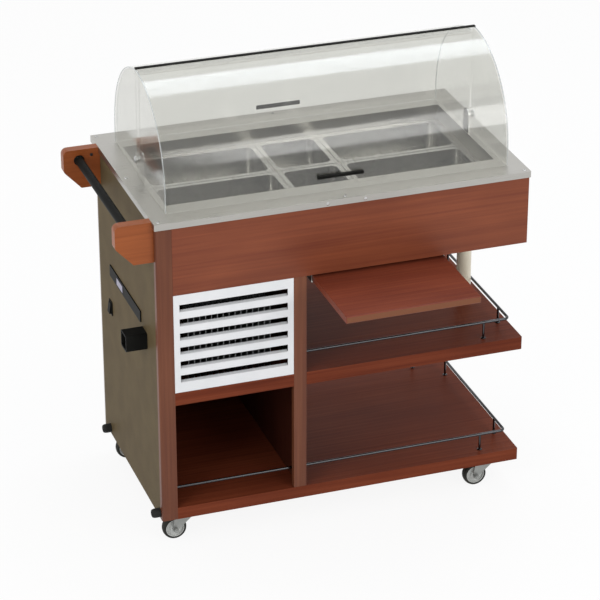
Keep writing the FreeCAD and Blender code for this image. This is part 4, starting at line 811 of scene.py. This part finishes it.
def floor_material():
    """White paper that stays white to the camera apart from the trolley's soft shadow."""
    material, tree, shader = start("white studio paper", Roughness=0.9, Specular_IOR_Level=0.1)
    shader.inputs["Base Color"].default_value = rgb("#f7f7f7")
    glow = add(tree, "ShaderNodeEmission", {"Color": rgb("#ffffff"), "Strength": 1.0})
    share = add(tree, "ShaderNodeMath", {0: white_to_eyes(tree), 1: PAPER_GLOW}, operation="MULTIPLY")
    mixed = add(tree, "ShaderNodeMixShader", {0: share.outputs[0], 1: shader.outputs[0], 2: glow.outputs[0]})
    tree.links.new(mixed.outputs[0], tree.nodes["Material Output"].inputs["Surface"])
    return material


bpy.ops.mesh.primitive_plane_add(size=30, location=(0, 0, 0))
floor = bpy.context.object
floor.name = "studio_floor"
floor.data.materials.append(floor_material())
print("floor of", floor.data.materials[0].name)

# %% Surround
LIGHT_LEVEL, SEEN_LEVEL = 0.72, 1.0
world = bpy.data.worlds.new("studio")
bpy.context.scene.world = world
world.use_nodes = True
sky = world.node_tree
level = add(sky, "ShaderNodeMapRange", {"Value": white_to_eyes(sky), "To Min": LIGHT_LEVEL,
                                        "To Max": SEEN_LEVEL})
sky.nodes["Background"].inputs["Color"].default_value = rgb("#ffffff")
sky.links.new(level.outputs["Result"], sky.nodes["Background"].inputs["Strength"])
print("surround lights at", LIGHT_LEVEL, "and is seen at", SEEN_LEVEL)


# %% Lamps
def soft_box(name, place, aim, width, height, watts, colour="#ffffff"):
    """A rectangular lamp at a place, turned to a point; without one it lies flat, its width along X."""
    light = bpy.data.lights.new(name, "AREA")
    light.shape = "RECTANGLE"
    light.size = width
    light.size_y = height
    light.energy = watts
    light.color = rgb(colour)[:3]
    lamp = bpy.data.objects.new(name, light)
    bpy.context.scene.collection.objects.link(lamp)
    lamp.location = place
    if aim:
        lamp.rotation_euler = (Vector(aim) - Vector(place)).to_track_quat("-Z", "Y").to_euler()


soft_box("overhead strip", (0.8, 0.86, 3.1), None, 1.8, 1.1, 24, "#eef6ff")
soft_box("left soft box", (-3.2, -2.2, 2.4), (0, 0, 0.7), 1.8, 1.8, 40)
soft_box("front fill", (1.8, -3.6, 2.2), (0, 0, 0.6), 2.2, 1.6, 42)
bpy.context.scene.view_settings.view_transform = "Standard"
print("studio ready")

# %% Finish
bpy.context.view_layer.update()
